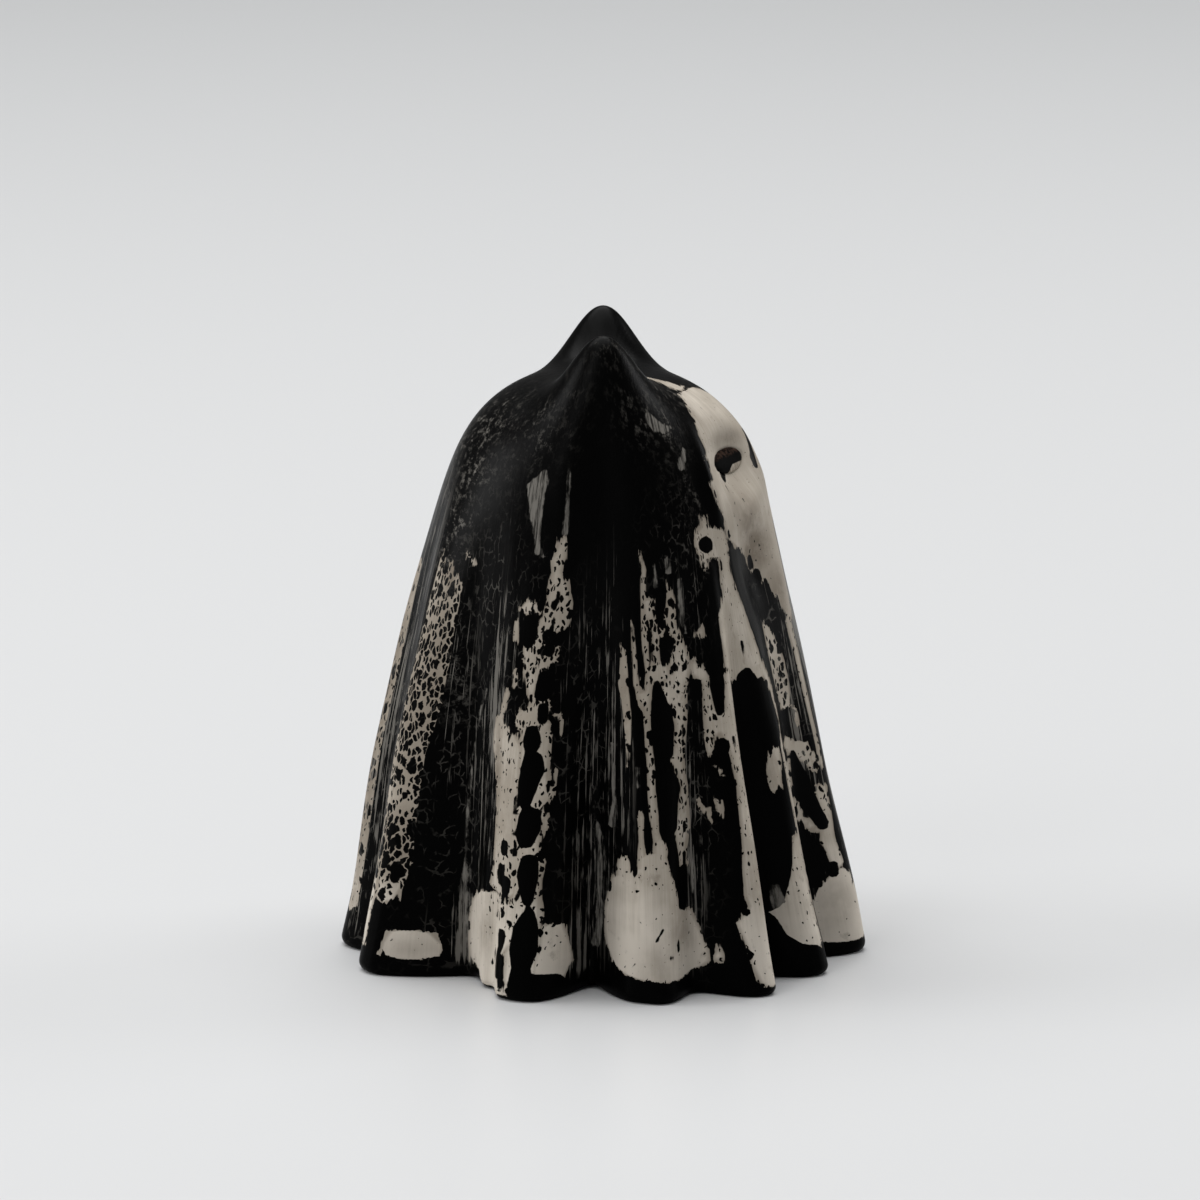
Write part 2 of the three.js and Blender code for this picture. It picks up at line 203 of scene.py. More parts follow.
def sheet_points(turn, z, fold):
    """The sheet's outer face: a tapering oval under a squared dome, less folds, plus the face and ears."""
    angle = np.radians(turn)
    dome = np.sqrt(np.maximum(0, 1 - (z / CROWN_HEIGHT) ** CROWN_SQUARENESS))
    up = z / HEAD_LEVEL
    swell = np.sin(np.pi * np.clip(BELLY_REACH * up, 0, 1)) ** 2
    belly = BACK_BELLY * np.maximum(0, -np.cos(angle)) * swell
    half_depth = HEM_HALF_DEPTH + (HEAD_HALF_DEPTH - HEM_HALF_DEPTH) * up + belly
    half_width = HEM_HALF_WIDTH + (HEAD_HALF_WIDTH - HEM_HALF_WIDTH) * up
    radius = oval_radius(turn, half_width, half_depth)
    radius = dome * (radius - fold - crease_inset(turn, z) + face_relief(turn, z))
    low = np.clip(z, 0, HEM_EDGE_RADIUS)
    rounding = np.sqrt(np.maximum(HEM_EDGE_RADIUS ** 2 - (HEM_EDGE_RADIUS - low) ** 2, 0))
    radius = radius - HEM_EDGE_RADIUS + rounding
    x = -radius * np.sin(angle)
    y = -radius * np.cos(angle)
    lift = -CROWN_SAG * bell(radius / CROWN_SAG_REACH) * (1 - dome ** 4)
    for side in (1, -1):
        lift = lift + EAR_RISE * bell((x - side * EAR_OFFSET) / EAR_HALF_WIDTH, y / EAR_HALF_DEPTH)
    return np.stack([x, y, z + lift], -1)


def skirt_fold(turn, z):
    """The fold's inset at any turn and height, found between the two nearest columns of a fine flow."""
    fine = Flow(0.2)
    turns = np.mod(fine.turn(z), 360)
    order = np.argsort(turns)
    return np.interp(turn % 360, turns[order], fine.inset(z)[order], period=360)


def eye_frame(side):
    """Middle of the socket's floor, with axes across, upward and outward along the surface there."""
    def at(turn, z):
        return sheet_points(np.array(turn), np.array(z), skirt_fold(turn, z))
    turn, z = side * EYE_TURN, EYE_HEIGHT
    upward = at(turn, z + 0.5) - at(turn, z - 0.5)
    upward = upward / np.linalg.norm(upward)
    sideways = at(turn - 2, z) - at(turn + 2, z)
    outward = np.cross(sideways, upward)
    outward = outward / np.linalg.norm(outward)
    return at(turn, z), np.cross(upward, outward), upward, outward


def lay_bake_map(mesh, count, sides):
    """The map for baked pictures: columns side by side, from the top pole's fan to the bottom pole's."""
    def corners(columns, rings, shape):
        share = [[(columns + right) / sides, 1 - (rings + down) / (count + 1)] for right, down in shape]
        return np.stack([np.stack(np.broadcast_arrays(*pair), -1) for pair in share], -2).reshape(-1, 2)

    column = np.arange(sides)
    fan = corners(column, 0, [(0.5, 0), (1, 1), (0, 1)])
    quads = corners(column[None, :], np.arange(1, count)[:, None], [(0, 0), (1, 0), (1, 1), (0, 1)])
    last = corners(column, count, [(0.5, 1), (0, 0), (1, 0)])
    layer = mesh.uv_layers.new(name="OFBake")
    layer.data.foreach_set("uv", np.concatenate([fan, quads, last]).astype(np.float32).ravel())


def mesh_from_rings(name, rings, top, bottom):
    """A closed mesh from rings of points, from the top pole to the bottom pole, faces outwards."""
    count, sides = rings.shape[:2]
    points = np.concatenate([[top], rings.reshape(-1, 3), [bottom]])
    index = 1 + np.arange(count * sides).reshape(count, sides)
    beside = np.roll(index, -1, 1)
    quads = np.stack([index[:-1], beside[:-1], beside[1:], index[1:]], -1).reshape(-1, 4)
    first = np.stack([np.zeros(sides, int), beside[0], index[0]], -1)
    last = np.stack([np.full(sides, len(points) - 1), index[-1], beside[-1]], -1)
    faces = [*first.tolist(), *quads.tolist(), *last.tolist()]
    mesh = bpy.data.meshes.new(name)
    mesh.from_pydata((points * MM).tolist(), [], faces)
    lay_bake_map(mesh, count, sides)
    mesh.shade_smooth()
    mesh.update()
    piece = bpy.data.objects.new(name, mesh)
    bpy.context.collection.objects.link(piece)
    return piece


def uneven(flow, z):
    """The unevenness of a poured cast in mm: a sum of slow sine waves that run round and up the sheet."""
    around = np.radians(flow)
    total = 0
    for count, pitch, phase, height in POURED_WAVES:
        total = total + height * np.sin(count * around + z / pitch + phase)
    return total


def sheet_levels():
    """The heights of the outer face's rows, close together near the crown, and then round the hem."""
    down = (np.arange(1, SHEET_ROWS + 1) / SHEET_ROWS) ** ROW_CROWDING
    levels = HEM_EDGE_RADIUS + (CROWN_HEIGHT - HEM_EDGE_RADIUS) * (1 - down ** LEVEL_POWER)
    rounding = HEM_EDGE_RADIUS * (1 - np.sin(np.pi / 2 * np.arange(1, HEM_ROWS + 1) / HEM_ROWS))
    return np.concatenate([levels, rounding])


def outer_face(flow, levels):
    """The outer face's rows of points, with the cast's waves and the eyes' pockets, and the hem's turns."""
    turns = np.array([flow.turn(z) for z in levels])
    folds = np.array([flow.inset(z) for z in levels])
    heights = levels[:, None] + np.zeros_like(turns)
    waves = uneven(flow.hem_turn[None, :], heights) * smooth_step(heights, 0, WAVES_FULL_ABOVE)
    waves = waves * smooth_step(heights, WAVES_GONE_AT, WAVES_FULL_BELOW)
    outer = sheet_points(turns, heights, folds - waves)
    for side in (1, -1):
        middle, across, upward, outward = eye_frame(side)
        offset = outer - middle
        near = np.linalg.norm(offset, axis=-1) < POCKET_REACH
        reach = np.hypot(offset @ across / EYE_HALF_WIDTH, offset @ upward / EYE_HALF_HEIGHT)
        sunk = (EYE_BODY - EYE_PROUD) * (1 - smooth_step(reach, POCKET_FLOOR, POCKET_MOUTH)) * near
        outer = outer - sunk[..., None] * outward
    return outer, turns[-1]


def hollow_rings(hem, turns):
    """The flat foot, the stepped seat, and the hollow: a tapering oval that closes as a power of height."""
    seat = oval_ring(turns, CAVITY_HALF_WIDTH + LEDGE_WIDTH, CAVITY_HALF_DEPTH + LEDGE_WIDTH, 0.0)
    ledge = PLUG_THICKNESS + CLEARANCE
    rings = [hem + (seat - hem) * share for share in (0.3, 0.65, 1.0)]
    rings.append(seat + [0, 0, ledge])
    taper = (HEAD_HALF_WIDTH - HEAD_WALL) / CAVITY_HALF_WIDTH
    swings = np.linspace(math.asin(ledge / CAVITY_TOP), np.pi / 2, VAULT_ROWS)[:-1]
    for z in CAVITY_TOP * np.sin(swings):
        size = (1 + (taper - 1) * z / HEAD_LEVEL) * math.sqrt(1 - (z / CAVITY_TOP) ** CAVITY_SQUARENESS)
        rings.append(oval_ring(turns, CAVITY_HALF_WIDTH * size, CAVITY_HALF_DEPTH * size, z))
    return np.array(rings)


def make_shell():
    """The cast sheet as one closed mesh: outer face, rounded hem, flat foot, stepped seat and hollow."""
    flow = Flow()
    levels = sheet_levels()
    outer, hem_turns = outer_face(flow, levels)
    inner = hollow_rings(outer[-1], hem_turns)
    crown = np.array([0, 0, CROWN_HEIGHT - CROWN_SAG])
    rings = np.concatenate([outer, inner])
    piece = mesh_from_rings("cast_sheet", rings, crown, np.array([0, 0, CAVITY_TOP]))
    paint_fields(piece, Chart(flow, levels, outer), len(inner))
    return piece


# Marbling listed for the side that is seen. Each shape is a chain of spans: from one flow to another,
# at a height. The crests are counted from the back, zero to six, and three is the one in the middle.
# Cream pools, from the face to the back
CREAM_POOLS = {
    "face": [
        (2, 21, 58.9), (-8, 24.5, 57.5), (-10, 29.5, 55.4), (-11, 28.5, 54), (-11, 33.5, 52.2),
        (-11, 36.5, 50.6), (-10, 35, 48.8), (-8, 30.5, 47.4), (-5, 30.5, 46.6), (1, 29, 45.4),
        (2, 24, 44.4), (2, 19.4, 43.4), (2, 17.8, 42.4), (2, 15.6, 41.2), (2, 12, 39.8), (2, 9.6, 38),
        (3, 7.6, 36)],
    "face, far side": [
        (-24, -6, 57.8), (-31, -8, 56), (-34, -8, 52.8), (-32, -10, 47.8), (-27, -8, 43.8),
        (-22, -10, 38.8)],
    "face, far side low": [(-24, -16, 30), (-26, -12, 22), (-22, -14, 14), (-23, -12, 6), (-26, -10, 3)],
    "crown smear": [(20, 36, 60.5), (12, 24, 60), (8, 18, 59.4)],
    "strip top": [(46, 51, 47.7), (43, 52, 46.9), (30, 56.5, 46.2), (29, 57, 45.2), (29, 55.6, 44.2)],
    "strip lobe": [(49.8, 55, 43.8), (50.5, 54.5, 43)],
    "strip": [
        (29.5, 40, 43.6), (30.5, 39.6, 42.6), (29.4, 41.4, 41.4), (28, 41, 40.2), (27, 44, 39.2),
        (26.4, 48.6, 38.2), (25.6, 49, 36.2), (24.6, 48.6, 34.6), (23.6, 49, 32.8)],
    "above the teardrop": [(24, 42, 32.6), (23.4, 42, 31.4)],
    "strip left arm": [
        (41, 49.8, 32.2), (40.4, 51, 30.2), (43.4, 52, 28.8), (45, 58.8, 27.6), (45, 54, 26.3),
        (45, 52, 24.4), (45, 51.2, 21), (45, 52, 16), (45, 53.2, 10.4), (45, 52.2, 9), (45, 55.6, 7.6),
        (45, 54.3, 5.6), (45.4, 53.4, 3.2), (46, 52, 1.4)],
    "strip right arm": [
        (24, 30, 33.4), (23.2, 26, 32.4), (21, 24.6, 31), (19, 22, 28.6), (18.6, 19.8, 25.6)],
    "strip thread": [
        (18.8, 21.4, 25.6), (21, 24, 24), (21.8, 24.8, 20), (22.8, 25.2, 14), (23.2, 25.6, 10)],
    "patch below the sheen": [(24.6, 29.4, 23.6), (25.6, 32, 21.8), (27.6, 32, 19.8)],
    "five foot": [
        (24, 28, 14.4), (24.2, 30, 12.4), (24.6, 31.8, 10.2), (24.5, 33.3, 8.2), (24.5, 36.5, 7),
        (24.5, 34, 5), (25, 33, 3.2)],
    "five tongue": [(34, 38, 2.8), (34, 37, 2.2)],
    "web of six": [(14, 17, 36), (12, 17.2, 33.6), (10.6, 16.4, 30.4), (11, 14.6, 27)],
    "web of six, thread": [(9.6, 10.8, 26.5), (9.4, 10.6, 24.6)],
    "web of six, lower": [(12.4, 16, 23.6), (8, 16, 22.6), (7, 11.6, 21.4), (6.4, 9, 20)],
    "web of six, left": [(13.6, 16.2, 21.4), (14, 16.4, 19.8), (13.8, 16, 18.4)],
    "web of six, fork": [(12.4, 16.6, 17), (11.6, 15.4, 15.4), (9.6, 12, 14.2), (7.6, 9.8, 13.4)],
    "beside the drops": [(5.3, 9, 17.8), (5.3, 8, 15), (5.8, 9.4, 12.4), (4.8, 8, 9.6)],
    "bright line": [(5.4, 8, 35.5), (5, 7.2, 32), (5.4, 6.8, 26), (4.8, 6.2, 20)],
    "foot of six": [(3.6, 8.6, 8.6), (2.4, 11.2, 7.4), (1.4, 13, 5.8), (0.8, 13, 3.8), (0.2, 13, 2)],
    "three, upper left": [
        (78, 78.8, 44.7), (76.2, 78, 43.2), (76.8, 78.3, 40.6), (76.6, 78.3, 37.8), (76.6, 78.2, 35.4),
        (76.4, 77.5, 33.2)],
    "three, upper patch": [
        (74.4, 78, 39.9), (74.4, 77, 38.6), (73.3, 75, 37.2), (73.4, 74.8, 35), (73.2, 74.8, 33.9)],
    "three, bar": [(71.2, 74.6, 37.2), (71.6, 74, 36.6)],
    "three, upper right": [
        (68, 68.8, 41.4), (67.6, 70, 39.4), (67.4, 71.5, 37.7), (65, 67.8, 35.9), (63.7, 69.8, 34.3),
        (63.4, 70.2, 33.2)],
    "three, arch": [(70.6, 76.4, 33.5), (70, 77.8, 32.5)],
    "three, arch leg": [(75.8, 77.9, 32.2), (76.2, 78.4, 30.2)],
    "three, right cluster": [(63.4, 70, 33), (64.6, 73.2, 31.4), (64.8, 72.5, 30)],
    "beside the cluster": [(60.5, 63, 33.7), (56.3, 63.3, 32.6), (56.2, 59, 31.4), (54.8, 57.8, 30.2)],
    "three, left column": [
        (76.2, 81, 30.8), (76.4, 78.4, 29.4), (76.7, 78.6, 28), (76.3, 78.4, 25.6), (75.8, 78, 23.4),
        (76.1, 78.1, 21.4), (75.5, 77.9, 19), (75.2, 77.3, 17), (73.3, 76.8, 16.2), (72.8, 77.5, 15.3)],
    "three, left thread": [(79.4, 81, 18.9), (79.6, 80.8, 16.6), (79, 81, 14.8)],
    "three, right column": [
        (65.2, 72.9, 30.9), (64.8, 70, 29.6), (65.2, 69, 27.6), (65.7, 69.6, 25.3), (66.2, 71.4, 24.1),
        (65.8, 68.8, 22.6), (65.2, 67.6, 21.3), (64.9, 69, 19), (64.6, 70.6, 16.9), (66.1, 70, 15.6),
        (66.4, 69, 13.6)],
    "three, finger": [(82.8, 86, 14.4), (82.4, 86.6, 13.2)],
    "three, hem": [
        (73.4, 81, 14.8), (72.2, 81.2, 13.6), (71, 88, 12.2), (70, 89, 10.6), (69.8, 89.8, 9.4),
        (65, 90, 8.8), (62.4, 90, 6.8), (60.6, 89, 4.8), (60.4, 87, 3.4), (62, 84, 2.8)],
    "lens": [
        (84.2, 85.2, 35.3), (83.3, 86, 33.6), (83.2, 86.6, 31.6), (82.5, 85, 29), (82.6, 84.4, 26.4),
        (83, 83.8, 23.8)],
    "lens, thread": [(81.2, 81.8, 37.7), (80.7, 81.8, 35), (79.8, 81.7, 31.9), (79.4, 80.7, 30.6)],
    "link": [
        (56, 59, 31), (55, 59, 28.9), (50, 59, 27.8), (52, 59, 27), (56.5, 59.2, 26), (56.4, 58.8, 24.5)],
    "link, patches": [(55.8, 57.4, 23.3), (54.4, 56, 22.2)],
    "hook": [(61.6, 62.6, 19.6), (59.6, 61.2, 19), (57, 59.2, 17.9), (55.4, 57, 18.6), (55.6, 57.4, 19.8)],
    "upper hook": [(56.5, 60.5, 36.4), (57, 58.5, 37)],
    "foot right of three": [(58.2, 58.8, 5), (57.8, 60.2, 3.8)],
    "island's right arm": [
        (104.3, 106.4, 45.8), (104.4, 109.4, 44), (105.4, 108.6, 42.9), (103.2, 109.5, 41.2),
        (102.2, 109.6, 39.4), (103, 111.4, 37.4)],
    "net of two": [(113, 118, 39.7), (110.6, 120.2, 39)],
    "net of two, thread": [(119.4, 121.2, 38), (119, 121.3, 35.8)],
    "net of two, middle": [(109.6, 111.8, 38.2), (110, 112.4, 37), (109.6, 114, 35.8)],
    "net of two, lower": [
        (105.2, 117.4, 35.3), (106, 117.4, 34), (109, 116.2, 32.8), (111.8, 114.6, 31), (108, 113, 30)],
    "shoulder of two": [
        (106.4, 112.6, 29.8), (109.6, 118.4, 28.5), (106.2, 119.4, 27.7), (106, 109.4, 26.8)],
    "two, strokes": [(118.2, 119.8, 32.6), (118.4, 119.8, 31.2)],
    "two, far strokes": [(121, 122.8, 30.6), (122.4, 124.8, 28.2)],
    "two, ring": [(105.6, 106.4, 28.8), (104, 105, 28.7), (103.4, 104.4, 28), (103.6, 104.2, 26.8)],
    "two, left": [
        (122.8, 126.4, 27.8), (118, 127.4, 26.6), (114.8, 127.4, 25.4), (115, 126.2, 22.8),
        (115, 124.6, 20), (114.8, 124.2, 18), (113.8, 124.2, 15.6), (114, 124.2, 12.4),
        (113.4, 125, 10.8)],
    "two, foot left": [
        (112, 134, 9.4), (111.8, 137, 8.2), (113, 137.8, 6.2), (117.5, 138, 3.8), (116.6, 137.4, 2),
        (113, 130, 0.8)],
    "two, foot thread": [(113, 115.6, 5), (112.7, 115.4, 2)],
    "two, right column": [
        (106.1, 109, 26.9), (106.2, 108, 25), (106.8, 108, 22.7), (104.7, 110.4, 20.9),
        (106.8, 110.6, 19.7), (105.5, 107.5, 18.2), (106.4, 107.4, 17)],
    "two, under the chain": [
        (107.5, 115.4, 27), (107, 115.4, 23), (107.6, 115.2, 17), (107, 114.6, 12), (106.6, 115, 7),
        (106.8, 115, 1.8)],
    "two, right thread": [(104.6, 105.2, 23), (104.6, 105.2, 20.6)],
    "two, low thread": [
        (105.9, 108, 14.4), (106.8, 107.8, 12.6), (106.5, 107.8, 10.2), (105.8, 107.6, 8.4)],
    "two, foot right": [(101.6, 106.6, 7.4), (100, 106.8, 5.6), (99.2, 108.2, 3.6), (101.6, 107, 1.6)],
    "one, hem": [(144.4, 152.2, 4.5), (142.8, 152.8, 3.4), (142.8, 152.8, 2.4)],
    "one, web": [
        (152, 157, 42.4), (145.6, 158, 40.6), (146.4, 158, 38.8), (147, 158, 35.6), (146.8, 158, 33),
        (147.2, 158, 28), (148.6, 158, 25.4), (149.8, 158, 22), (150, 157.8, 14), (149.6, 157, 11.4),
        (152, 157, 8)],
    "one, right patch": [(144.6, 147, 43.6), (141.5, 143.8, 42.8)],
    "one, edge": [(158.6, 159.6, 43), (157.8, 160.6, 36), (157.8, 160.8, 20), (157.8, 160.8, 3)],
    "one, low thread": [(149.8, 151, 19), (150, 151.2, 14), (149.9, 151.2, 11.4)],
    "zero, edge": [(177.6, 184, 40.8), (177, 184.6, 26.8), (177.6, 184.6, 12.8), (178, 183, 4.4)],
}
# Thin grey marks that only half cover the black
GREY_VEILS = {
    "face streak": [(5, 7, 42.6), (5, 7, 38), (4.8, 6, 36)],
    "over the brow": [(66, 72, 55.8), (61, 66, 55.7), (57, 60, 56)],
    "over the brow, streak": [(52, 54, 54.2), (53, 58, 53.4), (56, 60, 52.5)],
    "fork": [(69.7, 70.3, 44), (68.6, 69.6, 43), (67.6, 70, 42.8)],
    "fork, right": [(68, 68.8, 44.2), (68, 69, 43)],
    "beside the fork": [(73.4, 74, 43.6), (73, 73.8, 41.4)],
    "island": [
        (113.6, 116, 52.2), (113, 122.6, 51), (113.8, 120.6, 49.6), (114.4, 118.8, 47.8),
        (113.4, 116.4, 45.8), (112.4, 115.6, 44.7)],
    "island, right arm": [(104.6, 105.5, 52), (104.6, 105.4, 48), (104.3, 106, 46.4)],
    "island, bottom": [(112.6, 113.2, 44.3), (109.6, 110.2, 44.2)],
    "grey line": [(64.9, 66.2, 42), (65, 66, 38), (63.5, 65, 36.6)],
    "fringe of three": [(64.6, 65.4, 26.8), (64.4, 65.2, 24)],
    "fringe of three, low": [(64.2, 65.4, 17.6), (64.1, 65.2, 14), (63.8, 64.6, 10.5)],
    "dim thread": [(80, 81.1, 23.8), (80, 81, 21.7)],
    "wisp": [(87.8, 88.7, 25.5), (87.6, 88.6, 22), (87, 88, 19.8), (87, 89.4, 17.4)],
    "long streak": [(92.2, 93.4, 17), (91, 92.8, 13), (90.6, 92.9, 9), (90.4, 92.8, 7), (91.2, 94.4, 4.4)],
    "valley band": [
        (131.8, 132.6, 30.4), (134.8, 135.6, 28), (137, 137.8, 23.6), (138, 138.9, 18),
        (138.2, 139.2, 13), (138, 139.2, 8), (137.4, 138.8, 4), (137, 138.4, 2)],
    "valley band, second": [(136.4, 137, 17), (136.2, 137, 12), (136, 136.8, 7), (136.2, 136.8, 3)],
    "beside the strip": [(33.6, 34.8, 10), (32.6, 34.9, 8), (33.4, 34.6, 5.8)],
    "left of the web": [(144.6, 142.4, 32.6), (142.4, 141.2, 32.9)],
    "left of the web, lower": [(144, 142, 30.5), (142, 140.6, 30.8), (140, 138, 30.5)],
}
# Black drops that lie over the cream, and a painted sheen below the cheek: grey that stands for a reflection
# on the black
BLACK_DROPS = {
    "ringed spot": [(43, 54.6, 45.1)],
    "small ring": [(52, 53, 43.4)],
    "long drop": [(41, 47, 43), (40.6, 50.6, 42), (41.4, 51.6, 40.8), (44, 53, 39), (48, 54, 38.2)],
    "second drop": [(51.2, 56.6, 31.2), (51, 56, 30), (52, 55.2, 28.6)],
    "under the rim": [
        (34.4, 52, 52.6), (37.5, 52, 51), (37.5, 50, 49.6), (35, 45, 48.7), (31, 40, 48), (29, 36, 47.5)],
    "eye patch": [(8, 17, 52.8), (6.6, 19.4, 52.3), (7, 19.6, 51.8)],
    "eye patch, lobe": [(13, 20.2, 51.8), (16, 20.6, 51.2), (18, 20.6, 50.8)],
    "brow streak": [(-0.4, 1.2, 54.4), (0.6, 2.4, 53), (1.4, 3.6, 51.9), (2.2, 3.8, 51)],
    "face strokes": [(20.8, 21.4, 50.3), (21, 21.6, 49.4)],
    "face strokes, lower": [(22.8, 23.4, 47.9), (22.8, 23.4, 47.2)],
    "face strokes, right": [(15.6, 16.4, 48.8), (15, 15.8, 48.4)],
    "dark cheek": [(14.4, 16.8, 42.7), (14, 16.6, 41.7)],
    "dark cheek, low": [(12.6, 15, 41), (12.4, 14.6, 40.2)],
    "teardrop": [
        (30, 34, 32), (28, 36.6, 31.4), (25.4, 38.4, 29.8), (24, 39, 27), (26, 39, 25.4), (31, 40, 23.2),
        (32.7, 43, 21), (31.4, 44, 19.4), (26, 44, 17.4), (27.6, 44, 14.6), (30.5, 44, 11), (33, 44, 8),
        (36.6, 44, 6.6)],
    "blob of five": [(34.5, 40, 6.4), (33, 41, 4.4)],
    "block of five": [(25, 33, 1.4), (25, 44, 0.6)],
    "diagonal drop": [(11.8, 13.4, 22), (10, 14, 19.6), (8.2, 12.4, 16.4), (6.6, 9.6, 14)],
    "second diagonal": [(11.6, 16, 13.6), (9.2, 15, 11.8), (8.8, 13.6, 9.6), (10.2, 13.2, 8.1)],
    "third diagonal": [(6.6, 8.9, 9.6), (6.8, 8.9, 8.8)],
    "hole in the fork": [(13.3, 14.6, 16.4), (13.2, 14, 15.4)],
    "foot of six": [(8, 13, 0.9), (7.4, 13, 0.2)],
    "drop of three": [
        (73.5, 75.4, 32), (71.6, 75.8, 30.4), (69.6, 76, 28.4), (69.6, 76, 26.2), (71.2, 75.4, 24.4),
        (70.4, 75.2, 23), (68, 75.5, 21.9), (68.8, 75.3, 19.6), (69.4, 75.2, 17.4), (71.2, 74.6, 16.6)],
    "foot of the drop": [(70.4, 72.6, 14.6), (70.6, 72.8, 13.6)],
    "right of the foot": [(66.2, 71, 12.8), (66.3, 70.2, 10.6), (67, 69.4, 9.4)],
    "cluster drop": [(59, 63.4, 31.6), (58.8, 64, 30.2)],
    "above the arch": [(70.4, 73.2, 36.1), (70.3, 72.8, 34.2)],
    "above the bar": [(71, 73.5, 40.3), (71.6, 73.2, 38)],
    "cluster holes": [(68.8, 70, 32.9)],
    "cluster holes, lower": [(66.9, 67.6, 31.9), (64.9, 65.6, 31.3)],
    "column holes": [(65.9, 67, 27.6), (66.3, 67, 25.4)],
    "column holes, lower": [(65.8, 67.4, 17.6), (66, 67.2, 16.6)],
    "column holes, low": [(66.4, 68, 14.6), (66.6, 67.8, 13.6)],
    "strip hole": [(31, 32.6, 35), (31.4, 32.6, 33.5)],
    "arm hole": [(48.9, 50.2, 26), (48.8, 50, 24.5)],
    "arm hole, low": [(52.2, 53.3, 16.8), (52.5, 53.2, 15)],
    "beside the arm": [(51.6, 56.2, 25.2)],
    "beside the arm, second": [(52.8, 56.6, 23.7)],
    "beside the arm, third": [(51.7, 57.4, 20.9)],
    "hem of three, first mark": [(74.7, 75.5, 7.6), (76.4, 77.1, 6.4)],
    "hem of three, second mark": [(81.6, 82.2, 4), (82.6, 83, 3.4)],
    "hem of three, specks": [(72.4, 73.6, 4.7)],
    "hem of three, more specks": [(70.4, 71.2, 6.2), (70.2, 71.2, 5.2)],
    "hem notch": [(81.2, 82.3, 14.4), (81.2, 82.4, 12.8)],
    "foot of three": [(66, 76, 1), (64, 82, 0.4)],
    "big net drop": [(113, 117.5, 38.2), (111.9, 119, 36.8), (113.6, 117, 35.6)],
    "net hole, top": [(110, 113, 39.8), (110.4, 112.8, 39.1)],
    "net hole, right": [(108.8, 110.8, 36.8), (109, 110.6, 36.2)],
    "net hole, far right": [(107, 108.6, 37.2)],
    "net hole, edge": [(104.2, 106, 36.8), (104.4, 105.6, 35.8)],
    "net hole, lower right": [(106.6, 110, 35.2)],
    "arm of the island, holes": [(105.7, 107, 40.8), (105.6, 106.8, 40)],
    "arm of the island, more holes": [(106.6, 108.4, 39.6)],
    "arm of the island, low hole": [(106.8, 108.2, 38)],
    "net hole, left": [(115.8, 117, 34.2)],
    "net hole, middle": [(110.9, 112, 34), (110.8, 112, 33.2)],
    "net hole, low": [(114, 115.4, 32.6)],
    "net hole, low left": [(116.4, 118.2, 33.2)],
    "drop three": [(105.9, 111.2, 32.6), (106.6, 112, 31), (107, 112, 30.6)],
    "drop four": [(107.3, 110.7, 29.4), (107.3, 110.7, 28.2)],
    "shoulder holes": [(117.6, 119.4, 28.4), (118.7, 120, 26.8), (119.6, 120.4, 25.7)],
    "shoulder hole": [(114.4, 115.8, 28), (114.4, 115.6, 27.5)],
    "left specks": [(124.4, 125, 24.6), (124.4, 125, 23.8)],
    "left specks, upper": [(118.6, 119.6, 23.8)],
    "left hole": [(115, 116.2, 20.4), (114.9, 116, 18.6)],
    "left hole, lower": [(114.8, 116, 16.8)],
    "left hole, low": [(113.7, 115.3, 15.4), (113.8, 115.4, 14.5)],
    "left hole, big": [(117, 120, 15.6), (116.9, 120.2, 14.8)],
    "left hole, wide": [(117.4, 121.6, 13), (117.8, 121.6, 11.8)],
    "left hole, round": [(115, 118.6, 12), (115.4, 118.4, 10.7)],
    "left hole, small": [(116.4, 117.6, 9)],
    "left hole, edge": [(112.4, 114, 10.5)],
    "left hole, foot": [(115.5, 119, 6.6), (116, 118.4, 5.4)],
    "left hole, hem": [(115.8, 119.6, 4.2), (115.7, 120.2, 2.6)],
    "left hole, far": [(120.4, 122, 4)],
    "left hole, farthest": [(122, 123.6, 3)],
    "chain, first": [(109.6, 114, 27.2), (108.8, 114.7, 26.2), (109.2, 114.2, 25.4)],
    "chain, second": [
        (108.2, 113.8, 24.6), (107.5, 114.9, 23.2), (109.2, 115.1, 21.5), (110.6, 114.5, 19.9)],
    "chain, third": [(107.6, 113.8, 19), (107.5, 114.8, 17.4), (109, 114, 16)],
    "chain, fourth": [(107.6, 112.4, 14.4), (107.4, 114, 12.8), (108.4, 111.4, 10.1)],
    "chain, fifth": [
        (107.8, 111, 9), (106.9, 113.6, 7.6), (106.7, 114.3, 5.4), (108.2, 113.4, 3.4), (107, 114.2, 1.6)],
    "right column holes": [(105.8, 107.4, 22), (105.6, 106.8, 21)],
    "right column holes, lower": [(105.8, 107.4, 20), (106, 107.2, 19)],
    "ring's hole": [(104.4, 106, 28), (104.4, 106, 27)],
    "foot right, holes": [(104.6, 105.4, 8.6), (103, 104.3, 8.4), (101.3, 102.4, 7.8)],
    "foot of two": [(104, 114, 0.7), (100, 108, 0.2)],
}
# A painted sheen: grey that stands for light reflected off the black below the cheek
PAINTED_SHEEN_CHAINS = {
    "painted sheen below the cheek": [
        (23, 27.5, 44.4), (22.4, 28.3, 41), (21.2, 28, 38.2), (19.6, 25, 35.8), (19.6, 22.6, 33)],
}
